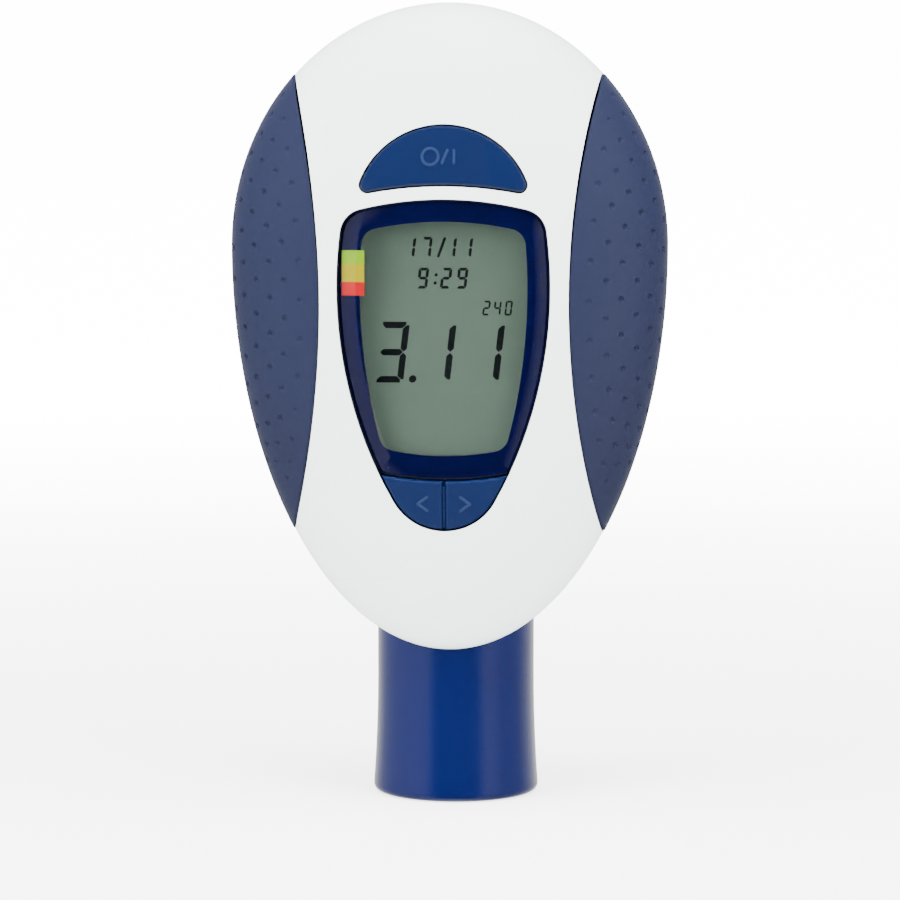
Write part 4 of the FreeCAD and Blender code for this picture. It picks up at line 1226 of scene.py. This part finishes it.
class PEAKFLOW_OT_display(bpy.types.Operator):
    """Finish the liquid crystal display and write its numbers"""

    bl_idname = "peakflow.display"
    bl_label = "Display"

    # Height of the ink's front and back over the display's face
    INK_FRONT = 0.05 * MM
    INK_BACK = 0.01 * MM
    # Radius of a dot in bar thicknesses, and heights of a colon's dots as shares of the row's
    DOT = 0.58
    COLON = (0.27, 0.66)

    def execute(self, context):
        crystal_and_glow = settings("meter_colours").display
        # Painted light: the display glows with its own colour, which lifts the shade that the window's border
        # casts on it
        glass = plastic("display_glass", crystal_and_glow, (0.3, 0.36), tint=0.9, grain=(1500.0, 0.002), cloud=18.0,
                        Specular_IOR_Level=0.1, Emission_Color=rgba(crystal_and_glow), Emission_Strength=1.0)
        dress(glass, "lcd_glass")
        dress(plastic("display_frame", (0.12, 0.125, 0.12), (0.5, 0.6)), "lcd_frame")
        dress(plastic("contact_rubber", (0.55, 0.22, 0.22), (0.6, 0.7)), "contact_strips")
        ink = plastic("display_ink", (0.004, 0.005, 0.006), (0.35, 0.4), tint=0.8, grain=(1500.0, 0.001),
                      Specular_IOR_Level=0.0)
        for row in ROWS:
            piece = add_piece(row.name, self.row_mesh(row), ink, "housing")
            piece.data.shade_flat()
        return {"FINISHED"}

    def row_mesh(self, row):
        """Thin plates in the shape of a row's characters, on the face of the display."""
        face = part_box("lcd_glass")[0].y
        build = bmesh.new()
        for outline in self.outlines(row):
            spots = [(spot.x + spot.y * SLANT, row.foot + spot.y) for spot in outline]
            front = [build.verts.new((x, face - self.INK_FRONT, z)) for x, z in spots]
            back = [build.verts.new((x, face - self.INK_BACK, z)) for x, z in spots]
            build.faces.new(front)
            for number in range(len(front)):
                build.faces.new((front[number - 1], front[number], back[number], back[number - 1]))
            build.faces.new(back)
        bmesh.ops.recalc_face_normals(build, faces=build.faces)
        return made_mesh(row.name, build)

    def outlines(self, row):
        """Outlines of every bar and dot of a row."""
        dot = row.thickness * self.DOT
        for mark, start in row.marks:
            left = start * MM
            if mark in DIGIT_BARS:
                for outline in digit_outlines(mark, row.width, row.height, row.thickness):
                    yield [spot + Vector((left, 0)) for spot in outline]
            elif mark == "/":
                yield bar_outline((left, 0), (left + row.width * 0.5, row.height), row.thickness, 0)
            elif mark == ":":
                for level in self.COLON:
                    yield self.round_dot(left, row.height * level, dot)
            else:
                yield self.round_dot(left + dot, dot, dot)

    def round_dot(self, x, z, radius):
        """Outline of a dot."""
        turns = [2 * math.pi * number / 24 for number in range(24)]
        return [Vector((x + radius * math.cos(turn), z + radius * math.sin(turn))) for turn in turns]


class PEAKFLOW_OT_buttons(bpy.types.Operator):
    """Finish the power button and the arrow keys, with their raised marks"""

    bl_idname = "peakflow.buttons"
    bl_label = "Buttons"

    # Width, height and half length of the raised marks, and the heights of their middles
    LINE = 0.5 * MM
    RAISED = 0.14 * MM
    HALF = 1.35 * MM
    POWER_LEVEL = 113.3 * MM
    KEY_LEVEL = 54.0 * MM

    def execute(self, context):
        colours = settings("meter_colours")
        key = self.satin("key_blue", colours.key, (0.36, 0.46), 0.9)
        # The marks' lighter blue is a painted highlight on the raised marks
        mark = self.satin("mark_blue_highlight", colours.mark, (0.38, 0.46), 0.95)
        dress(self.satin("button_blue", colours.button, (0.36, 0.46), 0.9), "power_button")
        dress(key, "previous_button", "next_button")
        self.power_mark(mark)
        self.web(key)
        for name, sign in (("previous", -1), ("next", 1)):
            self.chevron(name, sign, mark)
        return {"FINISHED"}

    def satin(self, name, colour, gloss, tint):
        """Satin moulding of the buttons."""
        return plastic(name, colour, gloss, tint, grain=(2600.0, 0.01), cloud=70.0, Specular_IOR_Level=0.3)

    def power_mark(self, material):
        """Raised on and off marks: a ring, a slanted bar and an upright bar."""
        low, high = self.POWER_LEVEL - self.HALF, self.POWER_LEVEL + self.HALF
        ring = arc_points((-2.15 * MM, self.POWER_LEVEL), 1.4 * MM, 0, 350, 35)
        slash = [(-0.2 * MM, low), (0.9 * MM, high)]
        upright = [(1.9 * MM, low), (1.9 * MM, high)]
        mesh = ridges("power_mark", "power_button", [ring, slash, upright], self.LINE, self.RAISED, (0,))
        add_piece("power_mark", mesh, material, "power_button")

    def web(self, material):
        """Thin blue web at the bottom of the groove between the arrow keys."""
        low, high = 49.8 * MM, 58.0 * MM
        half, depth = 0.2 * MM, 0.5 * MM
        beside, below_keys = 0.6 * MM, 0.35 * MM
        steps = 8
        find = finder("next_button")
        build = bmesh.new()
        rows = []
        for number in range(steps + 1):
            z = low + (high - low) * number / steps
            front = find(beside, z)[0].y + below_keys
            corners = ((-half, front), (half, front), (half, front + depth), (-half, front + depth))
            rows.append([build.verts.new((x, y, z)) for x, y in corners])
        for lower, upper in zip(rows, rows[1:]):
            for place in range(4):
                build.faces.new((lower[place - 1], lower[place], upper[place], upper[place - 1]))
        build.faces.new(rows[0])
        build.faces.new(rows[-1])
        bmesh.ops.recalc_face_normals(build, faces=build.faces)
        add_piece("key_web", made_mesh("key_web", build), material, "housing")

    def chevron(self, name, sign, material):
        """Raised arrow on one key."""
        node = f"{name}_button"
        inner, tip = 2.65 * MM, 4.5 * MM
        line = [(sign * inner, self.KEY_LEVEL + self.HALF), (sign * tip, self.KEY_LEVEL),
                (sign * inner, self.KEY_LEVEL - self.HALF)]
        mesh = ridges(f"{name}_mark", node, [line], self.LINE, self.RAISED)
        add_piece(f"{name}_mark", mesh, material, node)


class PEAKFLOW_OT_airway(bpy.types.Operator):
    """Finish the mouthpiece, the measuring tube and the turbine in it"""

    bl_idname = "peakflow.airway"
    bl_label = "Airway"

    def execute(self, context):
        blue = plastic("mouthpiece_blue", settings("meter_colours").tube, (0.2, 0.27), tint=0.9,
                       grain=(2000.0, 0.004), Coat_Weight=0.2)
        dress(blue, "mouthpiece")
        dress(clear_plastic("tube_clear"), "measuring_tube")
        dress(plastic("seal_rubber", (0.02, 0.02, 0.02), (0.5, 0.6)), "seal_rings")
        dress(plastic("stator_white", (0.75, 0.76, 0.76), (0.35, 0.45)), "inlet_stator", "outlet_stator")
        dress(plastic("bearing_ruby", (0.45, 0.01, 0.03), (0.08, 0.15)), "rotor_bearings")
        dress(plastic("rotor_black", (0.015, 0.015, 0.017), (0.4, 0.5)), "rotor_vane")
        dress(metal("shaft_steel", (0.62, 0.62, 0.64), (0.15, 0.25)), "rotor_shaft")
        dress(plastic("sensor_black", (0.012, 0.012, 0.014), (0.4, 0.5)), "sensor_bracket")
        dress(plastic("infrared_smoke", (0.05, 0.02, 0.06), (0.1, 0.16)), "ir_emitters", "ir_detectors")
        return {"FINISHED"}


class PEAKFLOW_OT_electronics(bpy.types.Operator):
    """Finish the circuit board, what it carries and the batteries"""

    bl_idname = "peakflow.electronics"
    bl_label = "Electronics"

    def execute(self, context):
        board = plastic("board_green", (0.01, 0.12, 0.045), tint=0.7, grain=(600.0, 0.02), cloud=300.0)
        dress(board, "circuit_board")
        dress(plastic("part_black", (0.02, 0.02, 0.02), (0.4, 0.5)), "main_chip", "buzzer", "tact_switches")
        dress(plastic("cell_wrap", (0.03, 0.03, 0.035), (0.25, 0.35)), "battery_cells")
        dress(metal("contact_nickel", (0.66, 0.63, 0.58)), "contact_plates", "contact_springs")
        return {"FINISHED"}


OPERATORS = (
    PEAKFLOW_OT_stage, PEAKFLOW_OT_housing, PEAKFLOW_OT_grips, PEAKFLOW_OT_window, PEAKFLOW_OT_display,
    PEAKFLOW_OT_buttons, PEAKFLOW_OT_airway, PEAKFLOW_OT_electronics,
)


class PEAKFLOW_PT_panel(bpy.types.Panel):
    """Lists the meter's pieces in the sidebar."""

    bl_idname = "PEAKFLOW_PT_panel"
    bl_label = "Peak Flow Meter"
    bl_space_type = "VIEW_3D"
    bl_region_type = "UI"
    bl_category = "Peak Flow"

    def draw(self, context):
        for operator in OPERATORS:
            self.layout.operator(operator.bl_idname)
        for group in (settings(name) for name in GROUP_PROPERTIES):
            for name in group.__annotations__:
                self.layout.prop(group, name)


GROUP_PROPERTIES = {
    "meter_sizes": MeterSizes,
    "lens_sizes": LensSizes,
    "meter_colours": MeterColours,
    "meter_stage": MeterStage,
}


def register():
    """Add the settings, the operators and the panel."""
    for name, group in GROUP_PROPERTIES.items():
        bpy.utils.register_class(group)
        setattr(bpy.types.Scene, name, bpy.props.PointerProperty(type=group))
    for item in (*OPERATORS, PEAKFLOW_PT_panel):
        bpy.utils.register_class(item)


def unregister():
    """Take them away again."""
    for item in (PEAKFLOW_PT_panel, *reversed(OPERATORS)):
        bpy.utils.unregister_class(item)
    for name, group in GROUP_PROPERTIES.items():
        delattr(bpy.types.Scene, name)
        bpy.utils.unregister_class(group)


def main():
    """Make every piece in order."""
    register()
    for operator in OPERATORS:
        family, name = operator.bl_idname.split(".")
        getattr(getattr(bpy.ops, family), name)()


if __name__ == "__main__":
    main()
